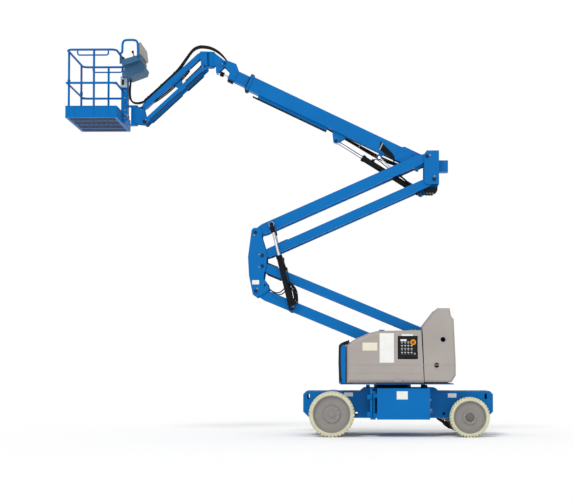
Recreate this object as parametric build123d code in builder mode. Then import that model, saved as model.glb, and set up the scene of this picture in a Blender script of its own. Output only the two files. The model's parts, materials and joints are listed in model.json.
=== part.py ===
from build123d import *
import math
import os

# Articulating boom lift. Millimetres, +Z up, the boom reaches towards -X, the machine's left is -Y.
# The origin lies on the ground under the middle of the machine's box.

# ---------------------------------------------------------------- driving sizes
overall_width = 1500.0
wheelbase = 1926.0
drive_axle_x = 754.0
running_gap = 0.3  # between faces that turn or slide on each other
clear_gap = 6.0  # between pieces that pass each other

drive_tyre_radius = 320.0
drive_rim_radius = 262.0
steer_tyre_radius = 280.0
steer_rim_radius = 228.0
tyre_width = 180.0
rim_disc = 12.0

chassis_half = 345.0
chassis_drive_end = 342.0
chassis_steer_end = 3039.0
chassis_bottom = 255.0
chassis_end_top = 637.0
chassis_mid_top = 684.0
chassis_rise_from = 1150.0
chassis_rise_to = 2280.0
chassis_wall = 12.0
chassis_corner = 90.0

kingpin_y = 505.0
kingpin_radius = 22.0
knuckle_reach = 36.0
steer_arm_length = 130.0
steer_rod_radius = 16.0
spindle_radius = 35.0
hub_drum_radius = 118.0
axle_beam_radius = 52.0

tray_from = 1389.0
tray_to = 2127.0
tray_inner_y = 357.0
tray_outer_y = 720.0
tray_bottom = 245.0
tray_top = 680.0
tray_wall = 6.0
tray_hinge_x = 1345.0
tray_hinge_y = 690.0
tray_pin_radius = 12.0

slew_x = 1620.0
slew_ring_radius = 268.0
slew_ring_top = 734.0
deck_top = 748.0
deck_front = 872.0
deck_rear = 2462.0
deck_half = 640.0

upright_in = 176.0  # cheek plates of turntable, mid upright and riser stand at one width
upright_wall = 14.0
upright_out = upright_in + upright_wall

hood_in = 207.0
hood_out = 700.0
hood_wall = 8.0
hood_bottom = 756.0
hood_round = 60.0
hood_hinge_y = 201.0
hood_hinge_z = 1506.0

# linkage: each arm leaves its pivot at a slope, measured up from the level
base_pivot = (2220.0, 1003.0)
lower_slope = 22.6
lower_length = 2780.0
lower_link_offset = (90.0, 360.0)
mid_pivot_rise = (-10.0, 847.0)
upper_slope = 23.9
upper_length = 2710.0
upper_link_offset = (100.0, -333.0)
arm_in = 112.0
arm_out = 168.0
arm_depth = 148.0
link_depth = 128.0
arm_wall = 5.0
arm_pin_radius = 25.0
arm_eye_radius = 44.0
lower_arm_eye_radius = 46.0

boom_slope = 25.66
boom_length = 2810.0
boom_top = -21.0
boom_depth = 205.0
boom_half = 90.0
boom_wall = 5.0
extension_half = 75.0
extension_depth = 165.0
extension_overlap = 1190.0  # of the extension that is still inside the boom
extension_shown = 307.0
extension_from = boom_length - extension_overlap
extension_to = boom_length + extension_shown
jib_pivot_reach = extension_to + 131.0
jib_pivot_rise = -23.0

lift_eye_reach = 568.5
lift_eye_drop = -25.0
lift_top_reach = 260.0
lift_y = 248.0
lift_barrel_radius = 44.0
lift_rod_radius = 22.0

boom_cylinder_base = (-90.0, -526.0)
boom_cylinder_reach = 1296.0
boom_cylinder_drop = -345.0
boom_barrel_radius = 46.0
boom_rod_radius = 25.0

master_reach = 620.0
master_drop = -300.0
master_y = -85.0
master_barrel_radius = 17.0
master_rod_radius = 10.0

slave_base_reach = extension_to - 397.0
slave_base_rise = -140.0
slave_ear = (-113.0, -118.0)
slave_barrel_radius = 27.0
slave_rod_radius = 13.0

swing_offset = (-200.0, 62.0)
drum_radius = 60.0
drum_height = 200.0
swing_pin_radius = 25.0
jib_top_offset = (-134.0, 91.0)
jib_link_offset = (51.0, -211.0)
jib_slope = -42.7
jib_length = 1186.0
jib_depth = 80.0
jib_half = 50.0
jib_wall = 4.0
jib_link_in = 118.0
jib_link_out = 142.0
jib_link_depth = 57.0
jib_pin_radius = 16.0
jib_cylinder_base = (10.0, -165.0)
jib_cylinder_reach = 550.0
jib_cylinder_drop = -140.0
jib_barrel_radius = 25.0
jib_rod_radius = 13.0

rotator_x_from_jib = -116.0
rotator_radius = 55.0
rotator_pin_radius = 22.0
platform_gap = 160.0  # from the rotator's axis to the platform's nearest face
platform_depth = 735.0
platform_half = 585.0
platform_floor_drop = -232.0  # floor's underside below the jib's end pivot
platform_rail = 760.0
rail_radius = 16.0


# ---------------------------------------------------------------- helpers
def arm_plane(pivot, slope, side, y=0.0):
    # plane whose x runs along an arm from its pivot and whose y points up, square to the arm
    c = math.cos(math.radians(slope))
    s = math.sin(math.radians(slope))
    return Plane(origin=(pivot[0], y, pivot[1]), x_dir=(side * c, 0, s), z_dir=(0, -side, 0))


def arm_point(pivot, slope, side, reach, rise=0.0):
    c = math.cos(math.radians(slope))
    s = math.sin(math.radians(slope))
    return (pivot[0] + side * (reach * c - rise * s), pivot[1] + reach * s + rise * c)


def offset_point(point, offset):
    return (point[0] + offset[0], point[1] + offset[1])


def level_plane(y):
    # upright plane at y, its x along +X and its y along +Z
    return Plane(origin=(0, y, 0), x_dir=(1, 0, 0), z_dir=(0, -1, 0))


def slab(plane, points, thickness, mode=Mode.ADD):
    # a closed outline made into a plate, half its thickness each side of the plane
    with BuildSketch(plane) as face:
        with BuildLine():
            Polyline(*points, close=True)
        make_face()
    extrude(face.sketch, amount=thickness / 2, both=True, mode=mode)


def bar(y_from, y_to, at, radius, mode=Mode.ADD):
    # a round bar or bore along Y
    with BuildSketch(level_plane(y_from)) as face:
        with Locations(at):
            Circle(radius)
    extrude(face.sketch, amount=y_from - y_to, mode=mode)


def post(z_from, z_to, at, radius, mode=Mode.ADD):
    # a round bar or bore along Z
    with BuildSketch(Plane.XY.offset(z_from)) as face:
        with Locations(at):
            Circle(radius)
    extrude(face.sketch, amount=z_to - z_from, mode=mode)


def block(low, high, mode=Mode.ADD):
    with BuildSketch(Plane.XY.offset(low[2])) as face:
        with Locations(((low[0] + high[0]) / 2, (low[1] + high[1]) / 2)):
            Rectangle(high[0] - low[0], high[1] - low[1])
    extrude(face.sketch, amount=high[2] - low[2], mode=mode)


def strut(start, end, radius, mode=Mode.ADD):
    # a round bar from one point to another
    run = Vector(*end) - Vector(*start)
    with BuildSketch(Plane(origin=start, z_dir=run)) as face:
        Circle(radius)
    extrude(face.sketch, amount=run.length, mode=mode)


def sided(y_from, y_to, side):
    # the same stretch of Y on the left (side -1) or on the right (side 1)
    return (side * y_from, side * y_to)


def write(piece, label):
    piece.label = label
    export_step(piece, f"parts/{label}.step")


def beam(plane, length, depth, y_in, y_out, side, wall, eye_radius, pin_radius):
    # box beam with side plates rounded about the eyes at its ends; plane's z runs along Y
    centre = plane.offset(side * (y_in + y_out) / 2)
    width = y_out - y_in
    taper = depth * 0.9
    with BuildPart() as piece:
        with BuildSketch(centre) as face:
            with BuildLine():
                Polyline(
                    (0, -eye_radius),
                    (taper, -depth / 2),
                    (length - taper, -depth / 2),
                    (length, -eye_radius),
                    (length, eye_radius),
                    (length - taper, depth / 2),
                    (taper, depth / 2),
                    (0, eye_radius),
                    close=True,
                )
            make_face()
            for x in (0, length):
                with Locations((x, 0)):
                    Circle(eye_radius)
        extrude(face.sketch, amount=width / 2, both=True)
        core = length - 3 * eye_radius
        with BuildSketch(centre) as hollow:
            with Locations((length / 2, 0)):
                Rectangle(core, depth - 2 * wall)
        extrude(hollow.sketch, amount=width / 2 - wall, both=True, mode=Mode.SUBTRACT)
        with BuildSketch(centre) as bores:
            for x in (0, length):
                with Locations((x, 0)):
                    Circle(pin_radius + running_gap)
        extrude(bores.sketch, amount=width, both=True, mode=Mode.SUBTRACT)
    return piece.part


def cylinder_barrel(plane, length, radius, rod_radius, eye_radius, eye_half, pin_radius):
    # barrel along the plane's x, from an eye at the origin to its gland; plane's z runs along Y
    gland = 26.0
    along_x = Plane(origin=plane.from_local_coords((eye_radius * 0.8, 0, 0)), x_dir=plane.z_dir, z_dir=plane.x_dir)
    body = length - eye_radius * 0.8
    with BuildPart() as piece:
        with BuildSketch(along_x) as tube:
            Circle(radius - 4)
        extrude(tube.sketch, amount=body)
        for start, size in ((0.0, radius), (body - gland, radius)):
            with BuildSketch(along_x.offset(start)) as band:
                Circle(size)
            extrude(band.sketch, amount=gland)
        with BuildSketch(plane) as eye:
            Circle(eye_radius)
        extrude(eye.sketch, amount=eye_half, both=True)
        with BuildSketch(plane) as bore:
            Circle(pin_radius + running_gap)
        extrude(bore.sketch, amount=eye_half + radius, both=True, mode=Mode.SUBTRACT)
        with BuildSketch(along_x.offset(pin_radius + barrel_end_wall - eye_radius * 0.8)) as hole:
            Circle(rod_radius + running_gap)
        extrude(hole.sketch, amount=length, mode=Mode.SUBTRACT)
    return piece.part


def cylinder_rod(plane, start, length, rod_radius, eye_radius, eye_half, pin_half):
    # rod along the plane's x, from start to an eye at length, with its pin through it
    from_start = Plane(origin=plane.from_local_coords((start, 0, 0)), x_dir=plane.z_dir, z_dir=plane.x_dir)
    at_eye = Plane(origin=plane.from_local_coords((length, 0, 0)), x_dir=plane.x_dir, z_dir=plane.z_dir)
    with BuildPart() as piece:
        with BuildSketch(from_start) as bar_face:
            Circle(rod_radius)
        extrude(bar_face.sketch, amount=length - start)
        with BuildSketch(at_eye) as eye:
            Circle(eye_radius)
        extrude(eye.sketch, amount=eye_half, both=True)
        with BuildSketch(at_eye) as pin:
            Circle(eye_radius * 0.5)
        extrude(pin.sketch, amount=pin_half, both=True)
    return piece.part


def heading(start, end):
    # slope of the line from start to end, for a line that runs towards -X, and its length
    run = start[0] - end[0]
    rise = end[1] - start[1]
    return math.degrees(math.atan2(rise, run)), math.hypot(run, rise)


# ---------------------------------------------------------------- places
LEFT, RIGHT = -1, 1
sides = ((LEFT, "left"), (RIGHT, "right"))
steer_axle_x = drive_axle_x + wheelbase
tyre_out = overall_width / 2
tyre_in = tyre_out - tyre_width

lower_link_base = offset_point(base_pivot, lower_link_offset)
lower_end = arm_point(base_pivot, lower_slope, LEFT, lower_length)
lower_link_end = offset_point(lower_end, lower_link_offset)
mid_pivot = offset_point(lower_end, mid_pivot_rise)
upper_link_start = offset_point(mid_pivot, upper_link_offset)
riser_pivot = arm_point(mid_pivot, upper_slope, RIGHT, upper_length)
upper_link_end = offset_point(riser_pivot, upper_link_offset)

lift_base = arm_point(lower_end, -lower_slope, RIGHT, lift_eye_reach, lift_eye_drop)
lift_top = arm_point(mid_pivot, upper_slope, RIGHT, lift_top_reach)
boom_cylinder_foot = offset_point(riser_pivot, boom_cylinder_base)
boom_cylinder_head = arm_point(riser_pivot, boom_slope, LEFT, boom_cylinder_reach, boom_cylinder_drop)
master_foot = boom_cylinder_foot  # both cylinders stand on one pin
master_head = arm_point(riser_pivot, boom_slope, LEFT, master_reach, master_drop)
bracket_pivot = arm_point(riser_pivot, boom_slope, LEFT, jib_pivot_reach, jib_pivot_rise)
slave_foot = arm_point(riser_pivot, boom_slope, LEFT, slave_base_reach, slave_base_rise)
slave_head = offset_point(bracket_pivot, slave_ear)
swing_axis = offset_point(bracket_pivot, swing_offset)
jib_pivot = offset_point(swing_axis, jib_top_offset)
jib_link_start = offset_point(jib_pivot, jib_link_offset)
jib_end = arm_point(jib_pivot, jib_slope, LEFT, jib_length)
jib_link_end = offset_point(jib_end, jib_link_offset)
jib_cylinder_foot = offset_point(jib_pivot, jib_cylinder_base)
jib_cylinder_head = arm_point(jib_pivot, jib_slope, LEFT, jib_cylinder_reach, jib_cylinder_drop)
rotator_axis_x = jib_end[0] + rotator_x_from_jib
platform_inner_x = rotator_axis_x - platform_gap
platform_outer_x = platform_inner_x - platform_depth
platform_underside = jib_end[1] + platform_floor_drop
platform_top = jib_end[1] + platform_rail

barrel_end_wall = 14.0
# each hydraulic cylinder: the pins at its foot and head, the share of that length which is barrel,
# and how far the rod still goes in from here
cylinders = {
    "lift": (lift_base, lift_top, 0.62, 230.0),
    "boom": (boom_cylinder_foot, boom_cylinder_head, 0.69, 198.0),
    "master": (master_foot, master_head, 0.72, 185.0),
    "slave": (slave_foot, slave_head, 0.62, 133.0),
    "jib": (jib_cylinder_foot, jib_cylinder_head, 0.76, 60.0),
}

os.makedirs("parts", exist_ok=True)


# ---------------------------------------------------------------- chassis
ramp = 60.0
with BuildPart() as chassis_frame:
    with BuildSketch(Plane.XZ) as profile:
        with BuildLine():
            Polyline(
                (chassis_drive_end, chassis_bottom + chassis_corner),
                (chassis_drive_end, chassis_end_top - chassis_corner / 2),
                (chassis_drive_end + chassis_corner / 2, chassis_end_top),
                (chassis_rise_from, chassis_end_top),
                (chassis_rise_from + ramp, chassis_mid_top),
                (chassis_rise_to - ramp, chassis_mid_top),
                (chassis_rise_to, chassis_end_top),
                (chassis_steer_end - chassis_corner / 2, chassis_end_top),
                (chassis_steer_end, chassis_end_top - chassis_corner / 2),
                (chassis_steer_end, chassis_bottom + chassis_corner),
                (chassis_steer_end - chassis_corner, chassis_bottom),
                (chassis_drive_end + chassis_corner, chassis_bottom),
                close=True,
            )
        make_face()
    extrude(profile.sketch, amount=chassis_half, both=True)
    with BuildSketch(Plane.XZ) as inside:
        add(profile.sketch)
        offset(amount=-chassis_wall, kind=Kind.INTERSECTION, mode=Mode.REPLACE)
    extrude(inside.sketch, amount=chassis_half - chassis_wall, both=True, mode=Mode.SUBTRACT)
    block(
        (chassis_drive_end + 2 * chassis_corner, -chassis_half + 5 * chassis_wall, chassis_bottom - 1),
        (chassis_steer_end - 2 * chassis_corner, chassis_half - 5 * chassis_wall, chassis_bottom + chassis_wall + 1),
        mode=Mode.SUBTRACT,
    )
    for wall_x in (1180.0, 2190.0):
        block(
            (wall_x, -chassis_half + chassis_wall, chassis_bottom + chassis_wall),
            (wall_x + chassis_wall, chassis_half - chassis_wall, chassis_end_top - chassis_wall),
        )
    # tie-down slots at the corners and round jacking holes, in both side plates
    for slot_x in (chassis_drive_end + 76, chassis_steer_end - 103):
        with BuildSketch(Plane.XZ) as slots:
            with Locations((slot_x, 563)):
                SlotOverall(80, 35, rotation=90)
        extrude(slots.sketch, amount=chassis_half + 1, both=True, mode=Mode.SUBTRACT)
    for hole_x in (drive_axle_x + 347, steer_axle_x - 338):
        bar(-chassis_half - 1, chassis_half + 1, (hole_x, 316), 24, mode=Mode.SUBTRACT)
    # hinge posts of the battery trays, out to the tray's face
    for side, _ in sides:
        y_plate, y_hinge = sided(chassis_half, tray_hinge_y, side)
        y_low, y_high = sorted((y_plate - side * 2, y_hinge + side * 20))
        for shelf_z in (tray_bottom, tray_top - 60):
            block((tray_hinge_x - 40, y_low, shelf_z), (tray_hinge_x + 24, y_high, shelf_z + 18))
        y_low, y_high = sorted((y_hinge - side * 30, y_hinge + side * 20))
        block((tray_hinge_x - 52, y_low, tray_bottom), (tray_hinge_x - 24, y_high, tray_top))
        block((tray_hinge_x - 52, min(y_plate, y_hinge), tray_bottom + 60), (tray_hinge_x - 40, max(y_plate, y_hinge), tray_top - 80))
        post(tray_bottom, tray_top - 42, (tray_hinge_x, y_hinge), tray_pin_radius)
write(chassis_frame.part, "chassis_frame")

with BuildPart() as drive_axle:
    axle_at = (drive_axle_x, drive_tyre_radius)
    bar(chassis_wall - chassis_half, chassis_half - chassis_wall, axle_at, axle_beam_radius)
    for side, _ in sides:
        bar(*sided(chassis_half, tyre_in - 20, side), axle_at, hub_drum_radius)
        bar(*sided(tyre_in - 20, tyre_out - 60, side), axle_at, spindle_radius)
write(drive_axle.part, "drive_axle")

arm_level = (226.0, 246.0)
yoke_half = 78.0
yoke_plate = 16.0
yoke_throat = 64.0  # from the kingpin to the back of the yoke, so that the steering arm swings clear
steer_rod_x = steer_axle_x - steer_arm_length
steer_rod_z = 201.0
with BuildPart() as steer_axle:
    beam_z = (chassis_bottom + chassis_wall, chassis_bottom + chassis_wall + 75)
    beam_y = chassis_half - chassis_wall
    block((steer_axle_x - 45, -beam_y, beam_z[0]), (steer_axle_x + 45, beam_y, beam_z[1]))
    for side, _ in sides:
        y_low, y_high = sorted(sided(chassis_half, kingpin_y - yoke_throat, side))
        block(
            (steer_axle_x - 30, y_low, steer_tyre_radius - yoke_half),
            (steer_axle_x + 30, y_high, steer_tyre_radius + yoke_half),
        )
        y_low, y_high = sorted(sided(kingpin_y - yoke_throat - 2, kingpin_y, side))
        for yoke_z in (steer_tyre_radius - yoke_half, steer_tyre_radius + yoke_half - yoke_plate):
            block((steer_axle_x - 34, y_low, yoke_z), (steer_axle_x + 34, y_high, yoke_z + yoke_plate))
            post(yoke_z, yoke_z + yoke_plate, (steer_axle_x, side * kingpin_y), 34)
        post(
            steer_tyre_radius - yoke_half,
            steer_tyre_radius + yoke_half,
            (steer_axle_x, side * kingpin_y),
            kingpin_radius,
        )
    # steering cylinder, hung under the beam
    bar(-190, 190, (steer_rod_x, steer_rod_z), 32)
    block((steer_rod_x - 16, -55, steer_rod_z + 24), (steer_axle_x + 30, 55, beam_z[0]))
    bar(-191, 191, (steer_rod_x, steer_rod_z), steer_rod_radius + running_gap, mode=Mode.SUBTRACT)
write(steer_axle.part, "steer_axle")

with BuildPart() as steer_rod:
    bar(-kingpin_y, kingpin_y, (steer_rod_x, steer_rod_z), steer_rod_radius)
    for side, _ in sides:
        post(steer_rod_z - 12, arm_level[0] - clear_gap, (steer_rod_x, side * kingpin_y), 17)
write(steer_rod.part, "steer_rod")

for side, name in sides:
    with BuildPart() as knuckle:
        knuckle_half = yoke_half - yoke_plate - running_gap
        pin_at = (steer_axle_x, side * kingpin_y)
        post(steer_tyre_radius - knuckle_half, steer_tyre_radius + knuckle_half, pin_at, knuckle_reach)
        bar(*sided(kingpin_y, tyre_out - 60, side), (steer_axle_x, steer_tyre_radius), spindle_radius)
        y_low, y_high = sorted(sided(kingpin_y - 17, kingpin_y + 17, side))
        block((steer_rod_x, y_low, arm_level[0]), (steer_axle_x - 10, y_high, arm_level[1]))
        post(arm_level[0], arm_level[1], (steer_rod_x, side * kingpin_y), 20)
        post(0, 2 * steer_tyre_radius, pin_at, kingpin_radius + running_gap, mode=Mode.SUBTRACT)
    write(knuckle.part, f"knuckle_{name}")

# wheels: name, axle place, tyre radius, rim radius, hub radius
wheels = (
    ("drive", drive_axle_x, drive_tyre_radius, drive_rim_radius, 120.0),
    ("steer", steer_axle_x, steer_tyre_radius, steer_rim_radius, 100.0),
)
rim_lip = 10.0
tyre_shoulder = 22.0
for wheel_name, wheel_x, tyre_radius, rim_radius, hub_radius in wheels:
    for side, name in sides:
        # profile in the plane of the axle: x runs outwards along the axle, y away from it
        wheel_plane = Plane(origin=(wheel_x, 0, tyre_radius), x_dir=(0, side, 0), z_dir=(side, 0, 0))
        axle_line = Axis((wheel_x, 0, tyre_radius), (0, side, 0))
        with BuildPart() as tyre:
            with BuildSketch(wheel_plane) as section:
                with BuildLine():
                    Polyline(
                        (tyre_in, rim_radius + running_gap),
                        (tyre_out, rim_radius + running_gap),
                        (tyre_out, tyre_radius - tyre_shoulder),
                        (tyre_out - tyre_shoulder, tyre_radius),
                        (tyre_in + tyre_shoulder, tyre_radius),
                        (tyre_in, tyre_radius - tyre_shoulder),
                        close=True,
                    )
                make_face()
            revolve(section.sketch, axis=axle_line)
        write(tyre.part, f"tyre_{wheel_name}_{name}")
        with BuildPart() as rim:
            with BuildSketch(wheel_plane) as section:
                with BuildLine():
                    Polyline(
                        (tyre_in + 8, rim_radius),
                        (tyre_out - 8, rim_radius),
                        (tyre_out - 8, rim_radius - rim_lip),
                        (tyre_out - 40, rim_radius - rim_lip - 14),
                        (tyre_out - 40, hub_radius),
                        (tyre_out - 26, hub_radius),
                        (tyre_out - 26, 48),
                        (tyre_out - 14, 40),
                        (tyre_out - 14, 0),
                        (tyre_out - 50, 0),
                        (tyre_out - 50, spindle_radius + running_gap),
                        (tyre_in + 10, spindle_radius + running_gap),
                        (tyre_in + 10, spindle_radius + 24),
                        (tyre_out - 40 - rim_disc, spindle_radius + 24),
                        (tyre_out - 40 - rim_disc, rim_radius - rim_lip - 14),
                        (tyre_in + 8, rim_radius - rim_lip),
                        close=True,
                    )
                make_face()
            revolve(section.sketch, axis=axle_line)
        write(rim.part, f"rim_{wheel_name}_{name}")

with BuildPart() as slew_ring:
    post(chassis_mid_top, slew_ring_top, (slew_x, 0), slew_ring_radius)
    post(chassis_mid_top, slew_ring_top, (slew_x, 0), slew_ring_radius - 70, mode=Mode.SUBTRACT)
write(slew_ring.part, "slew_ring")

# battery trays: a closed steel box on a hinge, with the battery pack inside
for side, name in sides:
    y_low, y_high = sorted(sided(tray_inner_y, tray_outer_y, side))
    in_low, in_high = sorted(sided(tray_inner_y + tray_wall, tray_outer_y - tray_wall, side))
    with BuildPart() as tray:
        block((tray_from, y_low, tray_bottom), (tray_to, y_high, tray_top))
        block(
            (tray_from + tray_wall, in_low, tray_bottom + tray_wall),
            (tray_to - tray_wall, in_high, tray_top - tray_wall),
            mode=Mode.SUBTRACT,
        )
        hinge_at = (tray_hinge_x, side * tray_hinge_y)
        lug_low, lug_high = sorted(sided(tray_hinge_y - 10, tray_hinge_y + 10, side))
        for lug_z in (tray_bottom + 26, tray_top - 130):
            block((tray_hinge_x, lug_low, lug_z), (tray_from, lug_high, lug_z + 60))
            post(lug_z, lug_z + 60, hinge_at, 18)
        post(tray_bottom, tray_top, hinge_at, tray_pin_radius + running_gap, mode=Mode.SUBTRACT)
    write(tray.part, f"battery_tray_{name}")
    with BuildPart() as pack:
        block(
            (tray_from + tray_wall + 8, in_low + 8, tray_bottom + tray_wall),
            (tray_to - tray_wall - 8, in_high - 8, tray_top - tray_wall - 60),
        )
    write(pack.part, f"battery_pack_{name}")


# ---------------------------------------------------------------- turntable
with BuildPart() as turntable_frame:
    block((deck_front, -deck_half, slew_ring_top), (deck_rear, deck_half, deck_top))
    for side, _ in sides:
        # cheek plates that carry the two lower pivots
        cheek = level_plane(side * (upright_in + upright_out) / 2)
        slab(
            cheek,
            (
                (1880, deck_top),
                (2390, deck_top),
                (2390, 1360),
                (2350, 1420),
                (2262, 1420),
                (2160, 1130),
                (2060, 1000),
                (1960, 900),
            ),
            upright_wall,
        )
        # beams along the deck, with the posts and rail that carry the cover
        y_low, y_high = sorted(sided(upright_out + 4, hood_in - 5, side))
        block((deck_front, y_low, deck_top), (2380, y_high, deck_top + 130))
        for post_x in (1480, 1940):
            block((post_x, y_low, deck_top + 130), (post_x + 40, y_high, 1440))
        block((1400, y_low, 1440), (2000, y_high, 1480))
        for hinge_x in (1450, 1900):
            y_lug = sorted(sided(hood_hinge_y - 8, hood_hinge_y + 4, side))
            block((hinge_x, y_lug[0], 1480), (hinge_x + 30, y_lug[1], hood_hinge_z))
            strut(
                (hinge_x - 24, side * hood_hinge_y, hood_hinge_z),
                (hinge_x + 54, side * hood_hinge_y, hood_hinge_z),
                6,
            )
        # front bumper: an upright channel at each side of the arms' bay
        front_low, front_high = sorted(sided(upright_out + 10, hood_out - 6, side))
        block((854, front_low, hood_bottom + 4), (864, front_high, 1290))
        skin_low, skin_high = sorted(sided(hood_out - 16, hood_out - 6, side))
        block((854, skin_low, hood_bottom + 4), (948, skin_high, 1290))
        rib_low, rib_high = sorted(sided(upright_out + 10, upright_out + 20, side))
        block((854, rib_low, hood_bottom + 4), (948, rib_high, 1290))
        foot_low, foot_high = sorted(sided(upright_out + 10, deck_half, side))
        block((854, foot_low, deck_top), (948, foot_high, hood_bottom + 14))
    block((deck_front, -upright_out - 20, deck_top), (deck_front + 14, upright_out + 20, 880))
    for at in (base_pivot, lower_link_base):
        bar(-upright_out - 8, upright_out + 8, at, arm_pin_radius)
write(turntable_frame.part, "turntable_frame")

weight_half = 636.0
weight_front = 2085.0
bay_rear = 2396.0
with BuildPart() as counterweight:
    slab(
        level_plane(0),
        (
            (weight_front, deck_top + 24),
            (2405, deck_top + 24),
            (2466, 880),
            (2466, 1290),
            (weight_front, 1290),
        ),
        2 * weight_half,
    )
    block((weight_front + 20, -deck_half + 70, deck_top), (2390, deck_half - 70, deck_top + 24))
    block((weight_front - 1, -214, deck_top - 1), (bay_rear, 214, 1291), mode=Mode.SUBTRACT)
    # bosses that the rear covers are bolted to
    for side, _ in sides:
        for boss in ((2300, 1130), (2300, 900)):
            bar(*sided(weight_half - 1, hood_out - hood_wall, side), boss, 40)
write(counterweight.part, "counterweight")

# outlines of the hoods seen from the side: x, z
front_hood = (
    (957, hood_bottom),
    (957, 1290),
    (1093, 1377),
    (1270, 1453),
    (1396, 1484),
    (2007, 1497),
    (2044, hood_bottom),
)
rear_hood = (
    (2053, hood_bottom + 10),
    (2024, 1529),
    (2235, 1803),
    (2405, 1803),
    (2425, 1690),
    (2462, 1650),
    (2489, 1031),
    (2489, 860),
    (2430, hood_bottom + 10),
)


def hood_form(outline, side, y_far, shrink, round_radius, rounded, opened=0.0):
    # the outline pushed outwards from the hood's inboard edge; only the named far edges are rounded
    points = [(x + opened * (x > 2000), z) for x, z in outline]
    with BuildPart() as form:
        with BuildSketch(level_plane(side * hood_in)) as face:
            with BuildLine():
                Polyline(*points, close=True)
            make_face()
            if shrink:
                offset(amount=-shrink, kind=Kind.INTERSECTION)
        extrude(face.sketch, amount=-side * (y_far - hood_in))
        far_face = form.faces().sort_by(Axis.Y)[-1 if side == RIGHT else 0]
        fillet(far_face.edges().sort_by(Axis.X)[rounded], radius=round_radius)
    return form.part


all_but_last = slice(None, -1)
all_but_first = slice(1, None)
control_window = ((1678, 1088), (1959, 1413))
for side, name in sides:
    with BuildPart() as cover:
        add(hood_form(front_hood, side, hood_out, 0, hood_round, all_but_last))
        add(
            hood_form(
                front_hood, side, hood_out - hood_wall, hood_wall, hood_round - hood_wall, all_but_last, opened=40
            ),
            mode=Mode.SUBTRACT,
        )
        y_low, y_high = sorted(sided(hood_in - 1, hood_out - hood_round - 20, side))
        block((965, y_low, hood_bottom - 1), (2060, y_high, hood_bottom + hood_wall + 1), mode=Mode.SUBTRACT)
        if side == LEFT:
            y_low, y_high = sorted(sided(hood_out - 60, hood_out + 1, side))
            block(
                (control_window[0][0], y_low, control_window[0][1]),
                (control_window[1][0], y_high, control_window[1][1]),
                mode=Mode.SUBTRACT,
            )
        # hinge knuckles either side of the frame's lugs
        for hinge_x in (1450, 1900):
            for knuckle_x in (hinge_x - 20, hinge_x + 34):
                y_low, y_high = sorted(sided(hood_hinge_y + 2, hood_in + 14, side))
                block((knuckle_x, y_low, 1482), (knuckle_x + 16, y_high, hood_hinge_z + 4))
                strut(
                    (knuckle_x, side * hood_hinge_y, hood_hinge_z),
                    (knuckle_x + 16, side * hood_hinge_y, hood_hinge_z),
                    11,
                )
                strut(
                    (knuckle_x - 1, side * hood_hinge_y, hood_hinge_z),
                    (knuckle_x + 17, side * hood_hinge_y, hood_hinge_z),
                    6 + running_gap,
                    mode=Mode.SUBTRACT,
                )
    write(cover.part, f"cover_{name}")

with BuildPart() as rear_covers:
    for side, _ in sides:
        add(hood_form(rear_hood, side, hood_out, 0, 40, all_but_first))
        add(
            hood_form(rear_hood, side, hood_out - hood_wall, hood_wall, 32, all_but_first),
            mode=Mode.SUBTRACT,
        )
        y_low, y_high = sorted(sided(hood_in - 1, hood_out - 60, side))
        block((2066, y_low, hood_bottom), (2425, y_high, hood_bottom + 19), mode=Mode.SUBTRACT)
        for at in (base_pivot, lower_link_base):
            bar(*sided(hood_out - 60, hood_out + 1, side), at, 35, mode=Mode.SUBTRACT)
write(rear_covers.part, "rear_covers")

with BuildPart() as ground_controls:
    block((1692, -686, 1104), (1945, -560, 1398))
    block((1780, -600, deck_top), (1850, -562, 1104))
write(ground_controls.part, "ground_controls")

with BuildPart() as power_pack:
    block((1060, -590, deck_top), (1380, -300, 1120))
    block((1100, 300, deck_top), (1500, 590, 1080))
write(power_pack.part, "power_pack")


# ---------------------------------------------------------------- secondary linkage
tie_radius = 30.0


def arm_pair(plane, length, depth, eye_radius):
    with BuildPart() as pair:
        for side, _ in sides:
            add(beam(plane, length, depth, arm_in, arm_out, side, arm_wall, eye_radius, arm_pin_radius))
    return pair.part


lower_plane = arm_plane(base_pivot, lower_slope, LEFT)
with BuildPart() as lower_arm:
    add(arm_pair(lower_plane, lower_length, arm_depth, lower_arm_eye_radius))
    for reach in (700, 1500, 2250):
        bar(-arm_in, arm_in, arm_point(base_pivot, lower_slope, LEFT, reach), tie_radius)
    for side, _ in sides:
        # lug and pin that carry the lift cylinder's foot
        with BuildSketch(level_plane(side * arm_out)) as lug:
            with Locations(lift_base):
                Circle(62)
        extrude(lug.sketch, amount=-side * 10)
        bar(*sided(arm_out, lift_y + 52, side), lift_base, 18)
write(lower_arm.part, "lower_arm")

link_plane = arm_plane(lower_link_base, lower_slope, LEFT)
with BuildPart() as lower_link:
    add(arm_pair(link_plane, lower_length, link_depth, arm_eye_radius))
    for reach in (700, 2000):
        bar(-arm_in, arm_in, arm_point(lower_link_base, lower_slope, LEFT, reach), tie_radius)
write(lower_link.part, "lower_link")

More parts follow.
